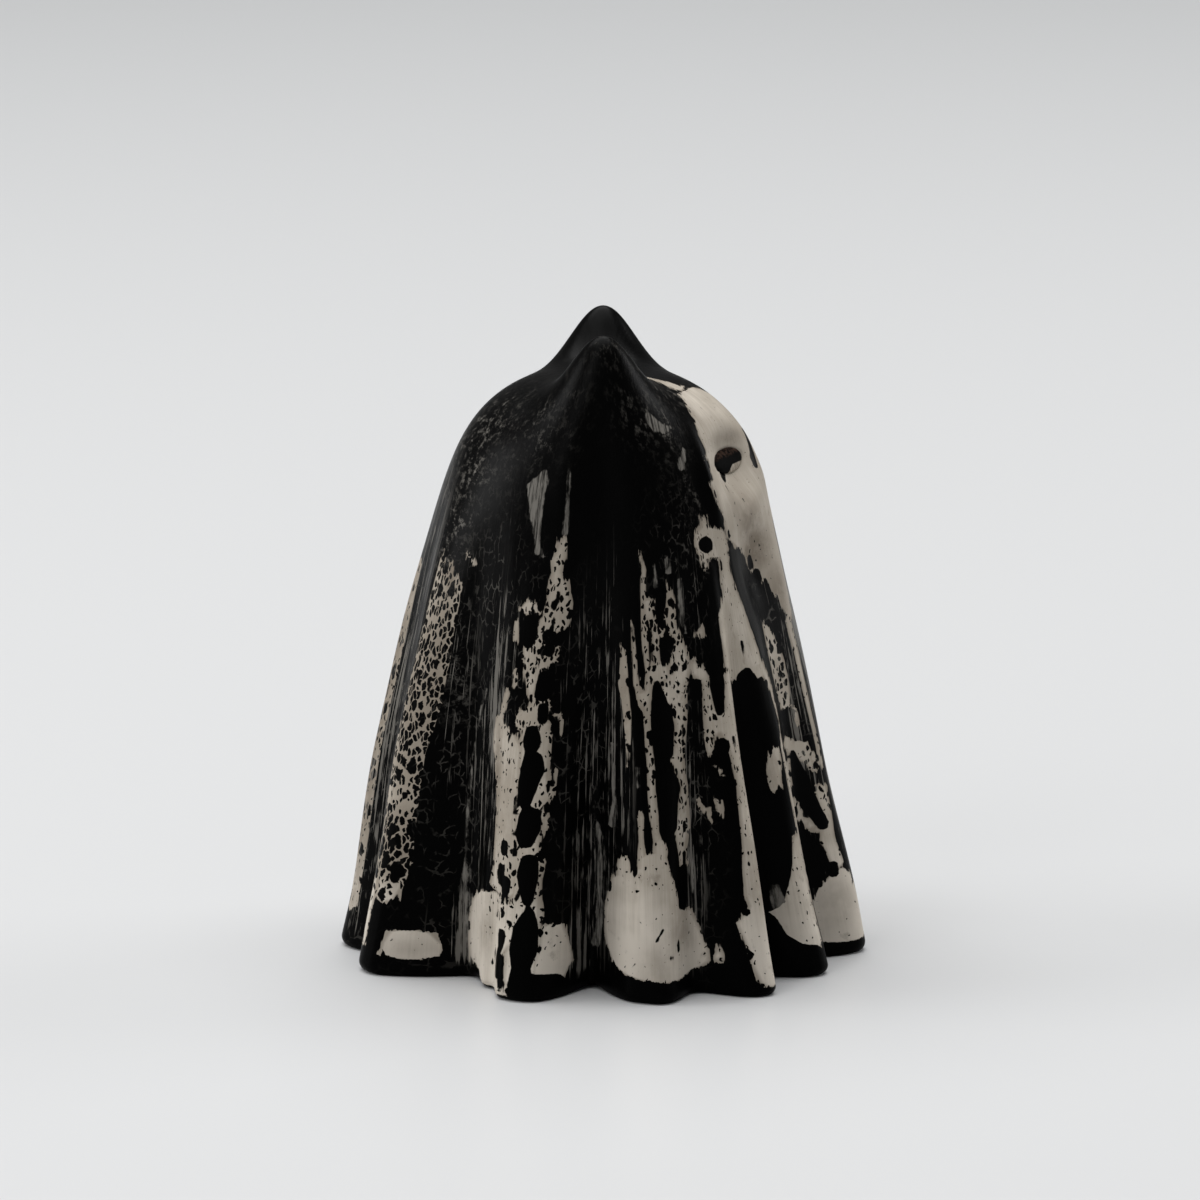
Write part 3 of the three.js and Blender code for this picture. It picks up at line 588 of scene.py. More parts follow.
# Where patterns show, each as flow, height, half width in degrees, half height in mm, and strength.
# Large and small black cells that eat into the cream
CELL_AREAS = [
    (152, 41, 10, 5, 0.9), (152, 28, 12, 22, 0.55), (152, 14, 12, 9, 0.9), (109, 36, 11, 8, 0.5),
    (118, 10, 10, 5, 0.5), (66, 34, 5, 5, 0.5), (180, 22, 8, 20, 0.6), (13, 30, 6, 7, 0.6),
    (9, 19, 7, 5, 0.4), (68, 33, 5, 4, 0.3), (109, 44, 6, 4, 0.2), (-18, 42, 12, 6, 0.5),
    (57, 27, 3, 4, 0.3),
]
PINHOLE_AREAS = [
    (153, 30, 14, 20, 1.2), (153, 14, 14, 7, 1.2), (109, 36, 15, 12, 0.85), (119, 25, 9, 8, 0.45),
    (106, 18, 6, 14, 0.7), (118, 12, 10, 7, 0.7), (66, 24, 6, 18, 0.65), (77, 26, 4, 16, 0.6),
    (72, 37, 12, 10, 0.85), (57, 28, 6, 10, 0.6), (13, 30, 7, 8, 0.85), (8, 19, 8, 5, 0.7),
    (28, 8, 5, 6, 0.4), (103, 7, 6, 6, 0.35), (33, 38, 8, 6, 0.25), (180, 22, 8, 20, 0.8),
    (16, 43, 6, 3, 0.4), (50, 44, 10, 5, 0.5), (50, 16, 6, 16, 0.4), (79, 13, 8, 3, 0.5),
]
STREAK_AREAS = [
    (93, 22, 8, 16, 0.8), (98, 32, 7, 8, 0.5), (129, 24, 8, 14, 0.9), (174, 24, 12, 24, 1.0),
    (60, 40, 8, 6, 0.4), (2, 30, 10, 22, 1.0), (125, 36, 6, 4, 0.9), (144, 30, 6, 12, 0.5),
    (88, 26, 5, 14, 0.9), (97, 5, 4, 4, 1.0), (64, 18, 4, 16, 0.5), (139, 4, 5, 5, 1.0),
    (10, 34, 4, 8, 0.6),
]
SCUFF_AREAS = [
    (165, 54, 26, 7, 1.0), (156, 50, 8, 8, 1.6), (120, 56, 14, 4, 0.5), (64, 56, 16, 3, 0.7),
    (200, 53, 30, 8, 0.8), (55, 50, 10, 3, 0.4), (40, 59, 30, 2, 0.8), (143, 31, 5, 4, 0.5),
    (85, 58, 20, 2, 0.4),
]
# Where a faint grey net lies on the black
NET_AREAS = [
    (141, 28, 9, 22, 0.5), (118, 34, 8, 8, 0.6), (10, 33, 8, 9, 0.8), (62, 22, 4, 12, 0.6),
    (98, 24, 8, 12, 0.5), (174, 24, 10, 24, 0.8), (130, 40, 10, 8, 0.6), (60, 44, 12, 6, 0.5),
    (141, 6, 8, 6, 0.3),
]
# Where the cream is thin and brownish, and painted shade on the face: under the brow, in the socket and
# below the cheek
THIN_CREAM_AND_SHADE_AREAS = [
    (10, 54.3, 9, 1.3, 0.7), (16, 46.4, 7, 3.4, 0.9), (26, 57.2, 5, 1.6, 0.7), (33, 48.8, 4, 2.4, 0.5),
    (-2, 52, 6, 6, 0.35), (20, 48, 5, 3, 0.5), (14, 43.6, 7, 3, 1.2), (8, 38.6, 5, 3.4, 0.9),
    (24, 60.2, 14, 1.2, 0.6), (152, 43, 8, 5, 1.2), (84, 30, 4, 8, 0.7), (48, 11, 4, 4, 0.6),
    (70, 7, 5, 2.4, 0.6), (76, 4, 5, 2, 0.5), (181, 24, 6, 26, 1.0), (124.6, 22, 3, 8, 0.9),
    (119, 18, 6, 9, 0.45), (126, 6, 6, 3, 0.5), (8, 6, 5, 3, 0.4), (30, 22, 5, 4, 0.5),
    (150, 3, 8, 1.2, 0.3), (118, 28, 10, 2, 0.4),
]
FAR = 3.0  # in mm, the greatest distance that a pattern can use
# How far a wide chain reaches past its end spans
POOL_BULGE = 0.6
DROP_BULGE = 1.3
LEVEL_LINK = 0.5  # a link that climbs less than this share of its way round counts as level
SPOT_TALLNESS, SPOT_BREADTH = 0.4, 1.5  # a lone span is tall where it is narrow, and flat where it is broad
TINY = 1e-6


class Chart:
    """A flat map of the outer face in mm: round is the way round each row, run the way up from the hem."""

    def __init__(self, flow, levels, outer):
        self.flow, self.levels = flow.hem_turn, levels
        steps = np.linalg.norm(np.roll(outer, -1, 1) - outer, axis=-1)
        self.round = np.cumsum(steps, 1) - steps
        self.girth = steps.sum(1, keepdims=True)
        fall = np.linalg.norm(np.diff(outer, axis=0), axis=-1).mean(1)
        self.run = np.concatenate([fall[::-1].cumsum()[::-1], [0]])[:, None]

    def run_at(self, level):
        """How far up the sheet a height lies."""
        return np.interp(level, self.levels[::-1], self.run[::-1, 0])

    def round_at(self, flow):
        """How far round a flow lies, on every row."""
        laps, rest = divmod(flow - self.flow[0], 360)
        count = len(self.flow)
        column = np.interp(rest, self.flow - self.flow[0], np.arange(count), right=count - 1)
        low = int(column)
        closed = np.concatenate([self.round, self.girth], 1)
        last = self.flow[0] + 360 - self.flow[-1]
        share = column - low if low + 1 < count else (rest - self.flow[-1] + self.flow[0]) / last
        return (closed[:, low] * (1 - share) + closed[:, low + 1] * share)[:, None] + laps * self.girth

    def bead(self, flow_a, flow_b, level):
        """A span as a bead: its middle on every row, its place up the sheet and its half width in mm."""
        start, end = self.round_at(flow_a), self.round_at(flow_b)
        row = np.argmin(np.abs(self.levels - level))
        return (start + end) / 2, self.run_at(level), (end - start)[row, 0] / 2

    def away(self, middle):
        """How far round from a place every point lies, the shorter way."""
        return (self.round - middle + self.girth / 2) % self.girth - self.girth / 2


def spot_distance(chart, middle, run, half):
    """Distance in mm to a lone span, drawn as an oval."""
    return np.hypot(chart.away(middle), (SPOT_TALLNESS + half / SPOT_BREADTH) * (chart.run - run)) - half


def link_distance(chart, first, second, bulge):
    """Distance in mm to two spans joined row by row, below nothing inside. A level link is a round rod."""
    (middle_a, run_a, half_a), (middle_b, run_b, half_b) = first, second
    across, up = chart.away(middle_a), chart.run - run_a
    link_across, link_up = middle_b - middle_a, run_b - run_a
    length = np.sqrt(link_across ** 2 + link_up ** 2) + TINY
    level = np.abs(link_up) < LEVEL_LINK * np.abs(link_across)
    along = (across * link_across + up * link_up) / length
    rod_share = np.clip(along / length, 0, 1)
    rod = np.hypot((across * link_up - up * link_across) / length, along - rod_share * length)
    row_share = np.clip(up / (link_up + TINY * (link_up == 0)), 0, 1)
    half = half_a + np.where(level, rod_share, row_share) * (half_b - half_a)
    past = (1 + half / bulge) * (up - row_share * link_up)
    row = np.hypot(across - row_share * link_across, past)
    lean = np.where(past == 0, np.abs(link_up) / length, 1)
    return np.where(level, rod - half, lean * (row - half))


def chain_distance(chart, spans, bulge):
    """Distance in mm to a chain of spans, each joined to the next."""
    beads = [chart.bead(*span) for span in spans]
    if len(beads) == 1:
        return spot_distance(chart, *beads[0])
    return np.minimum.reduce([link_distance(chart, *pair, bulge) for pair in zip(beads, beads[1:])])


def nearest_chain(chart, chains, bulge):
    """The least distance to any chain, kept within what the pattern can use."""
    nearest = np.minimum.reduce([chain_distance(chart, spans, bulge) for spans in chains])
    return np.clip(nearest, -FAR, FAR)


def area_weight(chart, areas):
    """How strongly a fine pattern shows: the strongest of several soft round areas."""
    weight = np.zeros(chart.round.shape)
    for flow, level, half_flow, half_run, strength in areas:
        across = wrap(chart.flow[None, :] - flow) / half_flow
        weight = np.maximum(weight, strength * bell(across, (chart.run - chart.run_at(level)) / half_run))
    return weight


HIDDEN_FROM, HIDDEN_TO = 190, 340  # turns that the photograph doesn't show
CREST_DEPTH = 0.3  # a fold line shallower than this share is a crest
DROP_SPACING = 5.5
COLUMN_SWELL = (0.2, 0.7, 1, 0.6, 0.9, 0.7, 0.2)


def hem_pool(random, turn):
    """A pool at a crest's foot: narrow at its top, broad at the hem, and leaning a little."""
    top, half, lean = random.uniform(6, 16), random.uniform(5, 9), random.uniform(-2, 2)
    return [(turn + lean - half / 3, turn + lean + half / 3, top), (turn - half, turn + half, 0.6 * top),
            (turn - 1.2 * half, turn + 1.1 * half, 3), (turn - half, turn + half, 1.6)]


def crest_pool(random, turn):
    """A ragged column of cream along a crest, thin at both ends."""
    low, high = random.uniform(16, 22), random.uniform(34, 44)
    middle, half = turn + random.uniform(-2, 2), random.uniform(3, 6)
    levels = np.linspace(low, high, len(COLUMN_SWELL))
    spans = []
    for level, swell in zip(levels, COLUMN_SWELL):
        left = middle - half * swell * random.uniform(0.5, 1)
        right = middle + half * swell * random.uniform(0.5, 1)
        spans.append((left, right, level))
    return spans


def drop_row(random, turn):
    """Black drops one above the other along one side of a crest."""
    side = turn + random.choice([-1, 1]) * random.uniform(3, 6)
    row = []
    for level in np.arange(random.uniform(2, 5), random.uniform(28, 38), DROP_SPACING):
        half, tall = random.uniform(0.8, 2.4), random.uniform(0.4, 2.6)
        tip = (side - 0.7 * half, side + 0.5 * half, level + tall)
        row.append([tip, (side - half, side + half, level)])
    return row


def hidden_marbling(random):
    """Pools, drops and fine patterns like the listed ones, for the sides that aren't seen."""
    pools, drops, cells, streaks = [], [], [], []
    for turn, _, depth, _ in FOLDS:
        if turn < HIDDEN_FROM or turn > HIDDEN_TO:
            continue
        if depth < CREST_DEPTH:
            pools += [hem_pool(random, turn), crest_pool(random, turn)]
            drops += drop_row(random, turn)
            level, tall = random.uniform(22, 34), random.uniform(8, 13)
            cells.append((turn, level, 9, tall, random.uniform(0.6, 0.95)))
        else:
            streaks.append((turn, random.uniform(20, 34), 10, random.uniform(14, 20), 1.0))
    return pools, drops, cells, streaks


def set_field(mesh, name, values):
    """A point attribute of one number, or of three, for each vertex."""
    values = np.asarray(values, float)
    kind, key = ("FLOAT_VECTOR", "vector") if values.ndim > 1 else ("FLOAT", "value")
    mesh.attributes.new(name, kind, "POINT").data.foreach_set(key, values.astype(np.float32).ravel())


PATTERN_RADIUS = 20.0  # the round patterns lie on a tube of this radius, so they widen with the sheet
CHART_SEAM = 266  # the flow where the flat map is cut, down the deep valley on the far side
MARBLING_SEED = 7


def paint_fields(piece, chart, inner_rings):
    """Gives the sheet's mesh the fields its paint is drawn from: distances, weights and places."""
    mesh = piece.data
    sides = len(chart.flow)
    pools, drops, cells, streaks = hidden_marbling(np.random.default_rng(MARBLING_SEED))
    above_hem = smooth_step(chart.levels[:, None], 0.8, 2.6)
    pool = nearest_chain(chart, [*CREAM_POOLS.values(), *pools], POOL_BULGE)
    fields = {
        "pool": pool,
        "pool_end": np.clip(np.abs(np.gradient(pool, axis=0) / np.gradient(chart.run, axis=0)), 0, 1),
        "drop": nearest_chain(chart, [*BLACK_DROPS.values(), *drops], DROP_BULGE),
        "veil": nearest_chain(chart, GREY_VEILS.values(), POOL_BULGE),
        # Distance to the painted sheen, a grey reflection below the cheek
        "painted_sheen": nearest_chain(chart, PAINTED_SHEEN_CHAINS.values(), POOL_BULGE),
        "cells": area_weight(chart, [*CELL_AREAS, *cells]),
        "pinholes": area_weight(chart, [*PINHOLE_AREAS, *cells]),
        "streak": area_weight(chart, [*STREAK_AREAS, *streaks]) * above_hem,
        "scuff": area_weight(chart, SCUFF_AREAS),
        # Thin brownish cream, and painted shade under the brow and below the cheek
        "thin_cream_and_shade": area_weight(chart, THIN_CREAM_AND_SHADE_AREAS),
        "net": area_weight(chart, [*NET_AREAS, *streaks]),
    }
    blank = {"pool": FAR, "drop": FAR, "veil": FAR, "painted_sheen": FAR}
    for name, values in fields.items():
        inside = np.full(inner_rings * sides + 1, blank.get(name, 0.0))
        set_field(mesh, name, np.concatenate([[values[0].mean()], values.ravel(), inside]))
    angle = np.radians(chart.flow)[None, :]
    place = np.stack(np.broadcast_arrays(
        PATTERN_RADIUS * np.sin(angle), PATTERN_RADIUS * np.cos(angle), chart.run), -1).reshape(-1, 3)
    top = np.array([[0, 0, chart.run[0, 0]]])
    inside = np.resize(place[-sides:], (inner_rings * sides, 3)) - [0, 0, 5]
    set_field(mesh, "place", np.concatenate([top, place, inside, [[0, 0, -5]]]))
    unrolled = np.radians((chart.flow[None, :] - CHART_SEAM) % 360) * PATTERN_RADIUS
    flat = np.stack(np.broadcast_arrays(unrolled, chart.run, 0 * chart.run), -1).reshape(-1, 3)
    inside = np.resize(flat[-sides:], (inner_rings * sides, 3))
    set_field(mesh, "chart", np.concatenate([top, flat, inside, [[0, 0, 0]]]))


class Tree:
    """A node tree being filled. Each method adds one node and gives back its output."""

    def __init__(self, tree):
        self.tree = tree

    def feed(self, socket, value):
        """Links an output to the socket, or sets the socket to a plain value."""
        if isinstance(value, bpy.types.NodeSocket):
            self.tree.links.new(value, socket)
        elif value is not None:
            socket.default_value = value

    def node(self, kind, inputs=(), **settings):
        """A node with its settings, and with its inputs by name or in order."""
        node = self.tree.nodes.new(kind)
        for name, value in settings.items():
            setattr(node, name, value)
        for key, value in (inputs.items() if isinstance(inputs, dict) else enumerate(inputs)):
            self.feed(node.inputs[key], value)
        return node

    def attribute(self, name):
        node = self.node("ShaderNodeAttribute", attribute_name=name)
        return node.outputs["Vector" if name in ("place", "chart") else "Fac"]

    def math(self, operation, *values):
        return self.node("ShaderNodeMath", values, operation=operation).outputs[0]

    def product(self, first, *others):
        for other in others:
            first = self.math("MULTIPLY", first, other)
        return first

    def total(self, first, *others):
        for other in others:
            first = self.math("ADD", first, other)
        return first

    def most(self, first, *others):
        for other in others:
            first = self.math("MAXIMUM", first, other)
        return first

    def ease(self, value, low, high, start=0.0, end=1.0):
        """start below low, end above high, eased between them. low may be the greater."""
        return self.node("ShaderNodeMapRange", (value, low, high, start, end),
                         interpolation_type="SMOOTHSTEP").outputs[0]

    def stretch(self, vector, across, along):
        """The place scaled evenly across the sheet and differently down it."""
        scales = (across, across, along)
        return self.node("ShaderNodeVectorMath", (vector, scales), operation="MULTIPLY").outputs[0]

    def millimetres(self):
        """Object coordinates in millimetres."""
        return self.stretch(self.node("ShaderNodeTexCoord").outputs["Object"], 1 / MM, 1 / MM)

    def split(self, vector):
        return self.node("ShaderNodeSeparateXYZ", (vector,)).outputs

    def join(self, *parts):
        return self.node("ShaderNodeCombineXYZ", parts).outputs[0]

    def noise(self, vector, scale=1.0, detail=3.0, roughness=0.5):
        inputs = {"Vector": vector, "Scale": scale, "Detail": detail, "Roughness": roughness}
        return self.node("ShaderNodeTexNoise", inputs).outputs["Fac"]

    def cells(self, vector, feature):
        """Flat Voronoi cells, one to a unit."""
        return self.node("ShaderNodeTexVoronoi", {"Vector": vector, "Scale": 1.0}, feature=feature,
                         voronoi_dimensions="2D").outputs

    def use(self, group, **values):
        """A node that holds a group, with its inputs by name."""
        return self.node("ShaderNodeGroup", values, node_tree=group).outputs

    def blend(self, share, first, second):
        """One colour over another."""
        node = self.node("ShaderNodeMix", data_type="RGBA")
        for socket, value in ((0, share), (6, first), (7, second)):
            self.feed(node.inputs[socket], value)
        return node.outputs[2]


def new_group(name, inputs, outputs):
    """An empty node group with named sockets, the Tree that fills it, and its own inputs and outputs."""
    group = bpy.data.node_groups.new(name, "ShaderNodeTree")
    for in_out, sockets in (("INPUT", inputs), ("OUTPUT", outputs)):
        for label, kind in sockets:
            group.interface.new_socket(label, in_out=in_out, socket_type="NodeSocket" + kind)
    tree = Tree(group)
    return group, tree, tree.node("NodeGroupInput").outputs, tree.node("NodeGroupOutput").inputs


def ragged_group():
    """Noise that is long down the sheet and short across it, from -1 to 1, for edges torn into fingers."""
    group, tree, given, out = new_group(
        "ragged edge", [("Place", "Vector"), ("Across", "Float"), ("Down", "Float")], [("Wander", "Float")])
    x, y, z = tree.split(given["Place"])
    squeezed = tree.join(
        tree.product(x, given["Across"]), tree.product(y, given["Across"]), tree.product(z, given["Down"]))
    value = tree.noise(squeezed, detail=4.0, roughness=0.6)
    tree.feed(out["Wander"], tree.math("MULTIPLY_ADD", value, 4.0, -2.0))
    return group


def cells_group():
    """Black cells on cream: a few small ovals at a low weight, a web of thin cream lines at a high one."""
    group, tree, given, out = new_group(
        "black cells", [("Chart", "Vector"), ("Across", "Float"), ("Down", "Float"), ("Weight", "Float")],
        [("Cover", "Float")])
    swirl = tree.node("ShaderNodeTexNoise", {"Vector": given["Chart"], "Scale": 1.1, "Detail": 2.0})
    bent = tree.node("ShaderNodeVectorMath", (swirl.outputs["Color"], (0.8, 1.1, 0), given["Chart"]),
                     operation="MULTIPLY_ADD").outputs[0]
    x, y, _ = tree.split(bent)
    squeezed = tree.join(tree.product(x, given["Across"]), tree.product(y, given["Down"]))
    near = tree.cells(squeezed, "F1")
    edge = tree.cells(squeezed, "DISTANCE_TO_EDGE")["Distance"]
    chance = tree.split(near["Color"])[0]
    radius = tree.total(tree.math("MULTIPLY_ADD", given["Weight"], 0.62, -0.24), tree.product(chance, 0.28))
    inside = tree.math("SUBTRACT", radius, near["Distance"])
    capped = tree.math("MINIMUM", given["Weight"], 1.05)
    lines = tree.math("MULTIPLY_ADD", capped, 0.10, tree.math("SUBTRACT", edge, 0.165))
    tree.feed(out["Cover"], tree.product(tree.ease(inside, -0.02, 0.03), tree.ease(lines, -0.015, 0.02)))
    return group


def grain_group():
    """The fine grain of satin resin: a small unevenness of gloss, and a height for the bump."""
    group, tree, given, out = new_group(
        "satin grain", [("Place", "Vector"), ("Roughness", "Float"), ("Spread", "Float")],
        [("Roughness", "Float"), ("Height", "Float")])
    cloud = tree.noise(given["Place"], scale=0.35, detail=3.0)
    pits = tree.noise(given["Place"], scale=6.0, detail=2.0)
    spread = tree.product(tree.math("ADD", cloud, -0.5), given["Spread"])
    tree.feed(out["Roughness"], tree.total(given["Roughness"], spread))
    tree.feed(out["Height"], tree.math("MULTIPLY_ADD", cloud, 0.6, tree.product(pits, 0.12)))
    return group


BLACK_RESIN = (0.0014, 0.0014, 0.0014, 1)
RUBBED_RESIN = (0.008, 0.0078, 0.0076, 1)
# The grey of the painted sheen, a reflection on the black
PAINTED_SHEEN_GREY = (0.016, 0.0157, 0.0152, 1)
THIN_CREAM = (0.20, 0.188, 0.168, 1)
CREAM = (0.63, 0.575, 0.50, 1)
DULL_CREAM = (0.41, 0.365, 0.305, 1)
BROWN_CREAM = (0.20, 0.168, 0.132, 1)
CRUST_BROWN = (0.045, 0.027, 0.02, 1)
BUMP_DISTANCE = 0.1 * MM


def finish_material(material, tree, inputs, height, strength):
    """Ends a material with its Principled shader and a bump from the height."""
    bump = tree.node("ShaderNodeBump", {"Height": height, "Strength": strength, "Distance": BUMP_DISTANCE})
    inputs["Normal"] = bump.outputs["Normal"]
    shader = tree.node("ShaderNodeBsdfPrincipled", inputs)
    output = tree.node("ShaderNodeOutputMaterial")
    tree.tree.links.new(shader.outputs[0], output.inputs["Surface"])
    return material


def new_material(name):
    """An empty node material and the Tree that fills it."""
    material = bpy.data.materials.new(name)
    material.use_nodes = True
    material.node_tree.nodes.clear()
    return material, Tree(material.node_tree)


def cream_pools(tree, fingers, hairs, lace):
    """Where cream lies before the black marks: in the pools, whose ends are torn more than their sides."""
    reach = tree.math("MULTIPLY_ADD", tree.attribute("pool_end"), 0.9, 0.07)
    edge = tree.total(tree.attribute("pool"), tree.product(fingers, reach), tree.product(hairs, reach, 0.4),
                      tree.product(lace, -0.16))
    return tree.ease(edge, 0.02, -0.09)


def black_marks(tree, drop, lace, black_cells):
    """What is black in a pool: drops, large cells that bite into its edge, and pinholes along that edge."""
    chart, pool_gap = tree.attribute("chart"), tree.attribute("pool")
    bites = tree.ease(pool_gap, -0.9, 0.0, 0.0, 0.46)
    bites = tree.most(tree.attribute("cells"), bites)
    large = tree.use(black_cells, Chart=chart, Across=0.75, Down=0.45, Weight=bites)[0]
    rim = tree.product(tree.ease(pool_gap, -1.0, 0.1, 0.10, 0.31), tree.math("ADD", lace, 0.9))
    pinholes = tree.most(tree.product(lace, tree.ease(pool_gap, -1.2, 0.0, 0.80, 1.0)), rim)
    small = tree.use(black_cells, Chart=chart, Across=1.9, Down=1.0, Weight=pinholes)[0]
    return tree.most(drop, large, small)


def fine_streaks(tree, place):
    """Upright hairlines in bunches, broken into dashes."""
    streak = tree.attribute("streak")
    line = tree.noise(tree.stretch(place, 3.8, 0.07), detail=4.0, roughness=0.65)
    dash = tree.noise(tree.stretch(place, 1.6, 0.45), detail=3.0)
    bunch = tree.noise(tree.stretch(place, 0.45, 0.04), detail=1.0)
    line = tree.total(line, tree.product(dash, 0.30), tree.product(streak, 0.10), tree.product(bunch, 0.35))
    return tree.product(tree.ease(line, 0.945, 0.995), tree.ease(streak, 0.05, 0.5))


def scuffs(tree, place):
    """Rubbed flecks in patches."""
    rub = tree.noise(tree.stretch(place, 1.0, 1.3), detail=6.0, roughness=0.72)
    patch = tree.ease(tree.noise(place, scale=0.35, detail=2.0), 0.42, 0.62, 0.3, 1.0)
    return tree.product(tree.ease(rub, 0.50, 0.66), tree.attribute("scuff"), patch)


def faint_net(tree, place, black_cells):
    """A net of thin lines, broken by noise."""
    cells = tree.use(black_cells, Chart=tree.attribute("chart"), Across=1.3, Down=0.8, Weight=1.4)[0]
    broken = tree.ease(tree.noise(tree.stretch(place, 0.9, 0.7), detail=3.0), 0.48, 0.62)
    return tree.product(tree.math("SUBTRACT", 1.0, cells), tree.attribute("net"), broken)


def threaded_veils(tree, place, fingers, blots):
    """The grey veils, laid as upright threads."""
    veil = tree.total(tree.attribute("veil"), tree.product(fingers, 0.15), tree.product(blots, 0.2))
    thread = tree.noise(tree.stretch(place, 2.2, 0.25), detail=4.0, roughness=0.7)
    return tree.product(tree.ease(veil, 0.08, -0.12), tree.ease(thread, 0.38, 0.58, 0.1, 0.9))


def cream_tones(tree, place, height, hairs, lace):
    """Soft clouds, brighter near the hem, hairlines, brown mottles, and brown where the cream is thin and
    where shade is painted on the face.
    """
    cloud = tree.noise(place, scale=0.22, detail=3.0)
    near_hem = tree.ease(height, 4, 14, 0.28, -0.08)
    tone = tree.total(tree.product(cloud, 0.9), tree.product(hairs, 0.12), near_hem)
    cream = tree.blend(tree.ease(tone, 0.25, 0.80), DULL_CREAM, CREAM)
    mottle = tree.noise(tree.stretch(place, 0.9, 0.5), detail=5.0, roughness=0.62)
    brown = tree.product(tree.ease(mottle, 0.56, 0.74), 0.5)
    # Brown for thin cream, and painted shade under the brow and below the cheek
    mottled_thin_cream_and_shade = tree.product(tree.attribute("thin_cream_and_shade"), tree.ease(mottle, 0.30, 0.60, 0.55, 1.0))
    rim_brown = tree.product(tree.ease(tree.attribute("pool"), -0.6, 0.05), 0.65)
    lace_brown = tree.ease(lace, 0.5, 1.1, 0.0, 0.75)
    return tree.blend(tree.most(brown, mottled_thin_cream_and_shade, rim_brown, lace_brown), cream, BROWN_CREAM)


def marbled_resin(ragged, black_cells, grain):
    """Satin black resin with cream poured over it, thin grey marks on the black, and a painted grey sheen
    below the cheek.
    """
    material, tree = new_material("marbled_resin")
    place = tree.attribute("place")
    fingers = tree.use(ragged, Place=place, Across=1.5, Down=0.20)[0]
    hairs = tree.use(ragged, Place=place, Across=5.0, Down=0.14)[0]
    blots = tree.use(ragged, Place=place, Across=0.8, Down=0.5)[0]
    lace = tree.attribute("pinholes")
    height = tree.split(place)[2]

    drop = tree.ease(tree.total(tree.attribute("drop"), tree.product(blots, 0.10)), 0.04, -0.05)
    black = black_marks(tree, drop, lace, black_cells)
    full = tree.product(cream_pools(tree, fingers, hairs, lace), tree.math("SUBTRACT", 1.0, black))
    thin = tree.most(tree.product(fine_streaks(tree, place), 0.7), tree.product(scuffs(tree, place), 0.8),
                     tree.product(faint_net(tree, place, black_cells), 0.45))
    thin = tree.product(thin, tree.math("SUBTRACT", 1.0, drop))
    thin = tree.most(thin, threaded_veils(tree, place, fingers, blots))

    colour = tree.blend(thin, BLACK_RESIN, THIN_CREAM)
    # The painted sheen: grey where light reflects off the black below the cheek
    colour = tree.blend(tree.ease(tree.attribute("painted_sheen"), 0.15, -0.25), colour, PAINTED_SHEEN_GREY)
    colour = tree.blend(full, colour, cream_tones(tree, place, height, hairs, lace))
    grainy = tree.use(grain, Place=place, Spread=0.14, Roughness=tree.ease(full, 0, 1, 0.30, 0.46))
    relief = tree.total(tree.product(full, -0.5), tree.product(hairs, 0.12), grainy["Height"])
    # The specular level falls from the crown to the hem: a painted shade of the reflections lower down
    inputs = {"Base Color": colour, "Roughness": grainy["Roughness"],
              "Specular IOR Level": tree.ease(height, 25, 50, 0.012, 0.045)}
    return finish_material(material, tree, inputs, relief, 0.35)


def plug_resin(grain):
    """Unpainted black resin with a faint grey of handling."""
    material, tree = new_material("plug_resin")
    place = tree.millimetres()
    grainy = tree.use(grain, Place=place, Roughness=0.5, Spread=0.2)
    rub = tree.noise(place, scale=0.5, detail=5.0, roughness=0.7)
    colour = tree.blend(tree.ease(rub, 0.55, 0.85), BLACK_RESIN, RUBBED_RESIN)
    inputs = {"Base Color": colour, "Roughness": grainy["Roughness"], "Specular IOR Level": 0.05}
    return finish_material(material, tree, inputs, grainy["Height"], 0.3)


def inlaid_eye(grain):
    """Black resin with a rough brown crust along its top and a cream lower lid run over it in front."""
    material, tree = new_material("inlaid_eye")
    place = tree.millimetres()
    grainy = tree.use(grain, Place=place, Roughness=0.45, Spread=0.2)
    crust = tree.noise(place, scale=2.4, detail=4.0, roughness=0.7)
    roof = tree.product(tree.attribute("roof"), tree.ease(crust, 0.40, 0.62))
    colour = tree.blend(roof, BLACK_RESIN, CRUST_BROWN)
    lid = tree.ease(tree.total(tree.attribute("lid"), tree.product(crust, 0.4)), 0.50, 0.80)
    colour = tree.blend(lid, colour, tree.blend(tree.ease(crust, 0.3, 0.7), BROWN_CREAM, DULL_CREAM))
    height = tree.total(tree.product(roof, 1.5), grainy["Height"])
    inputs = {"Base Color": colour, "Roughness": grainy["Roughness"], "Specular IOR Level": 0.008}
    return finish_material(material, tree, inputs, height, 0.4)


def make_plug():
    """The plug in the foot: a flat oval disc with a quarter round along its lower edge."""
    turns = np.arange(0, 360, PLUG_COLUMN_DEGREES)
    half_width = CAVITY_HALF_WIDTH + LEDGE_WIDTH - CLEARANCE
    half_depth = CAVITY_HALF_DEPTH + LEDGE_WIDTH - CLEARANCE

    def ring(inset, z):
        return oval_ring(turns, half_width - inset, half_depth - inset, z)

    top = PLUG_THICKNESS
    arcs = np.linspace(0, np.pi / 2, 5)[1:]
    rings = [ring(half_width * (1 - share), top) for share in (0.25, 0.5, 0.75, 1)]
    rings += [ring(0, top - 0.2), ring(0, PLUG_EDGE)]
    rings += [ring(PLUG_EDGE * (1 - np.cos(arc)), PLUG_EDGE * (1 - np.sin(arc))) for arc in arcs]
    rings += [ring(PLUG_EDGE + 0.9 * half_width * (1 - share), 0) for share in (0.75, 0.5, 0.25)]
    return mesh_from_rings("foot_plug", np.array(rings), np.array([0, 0, top]), np.array([0, 0, 0]))


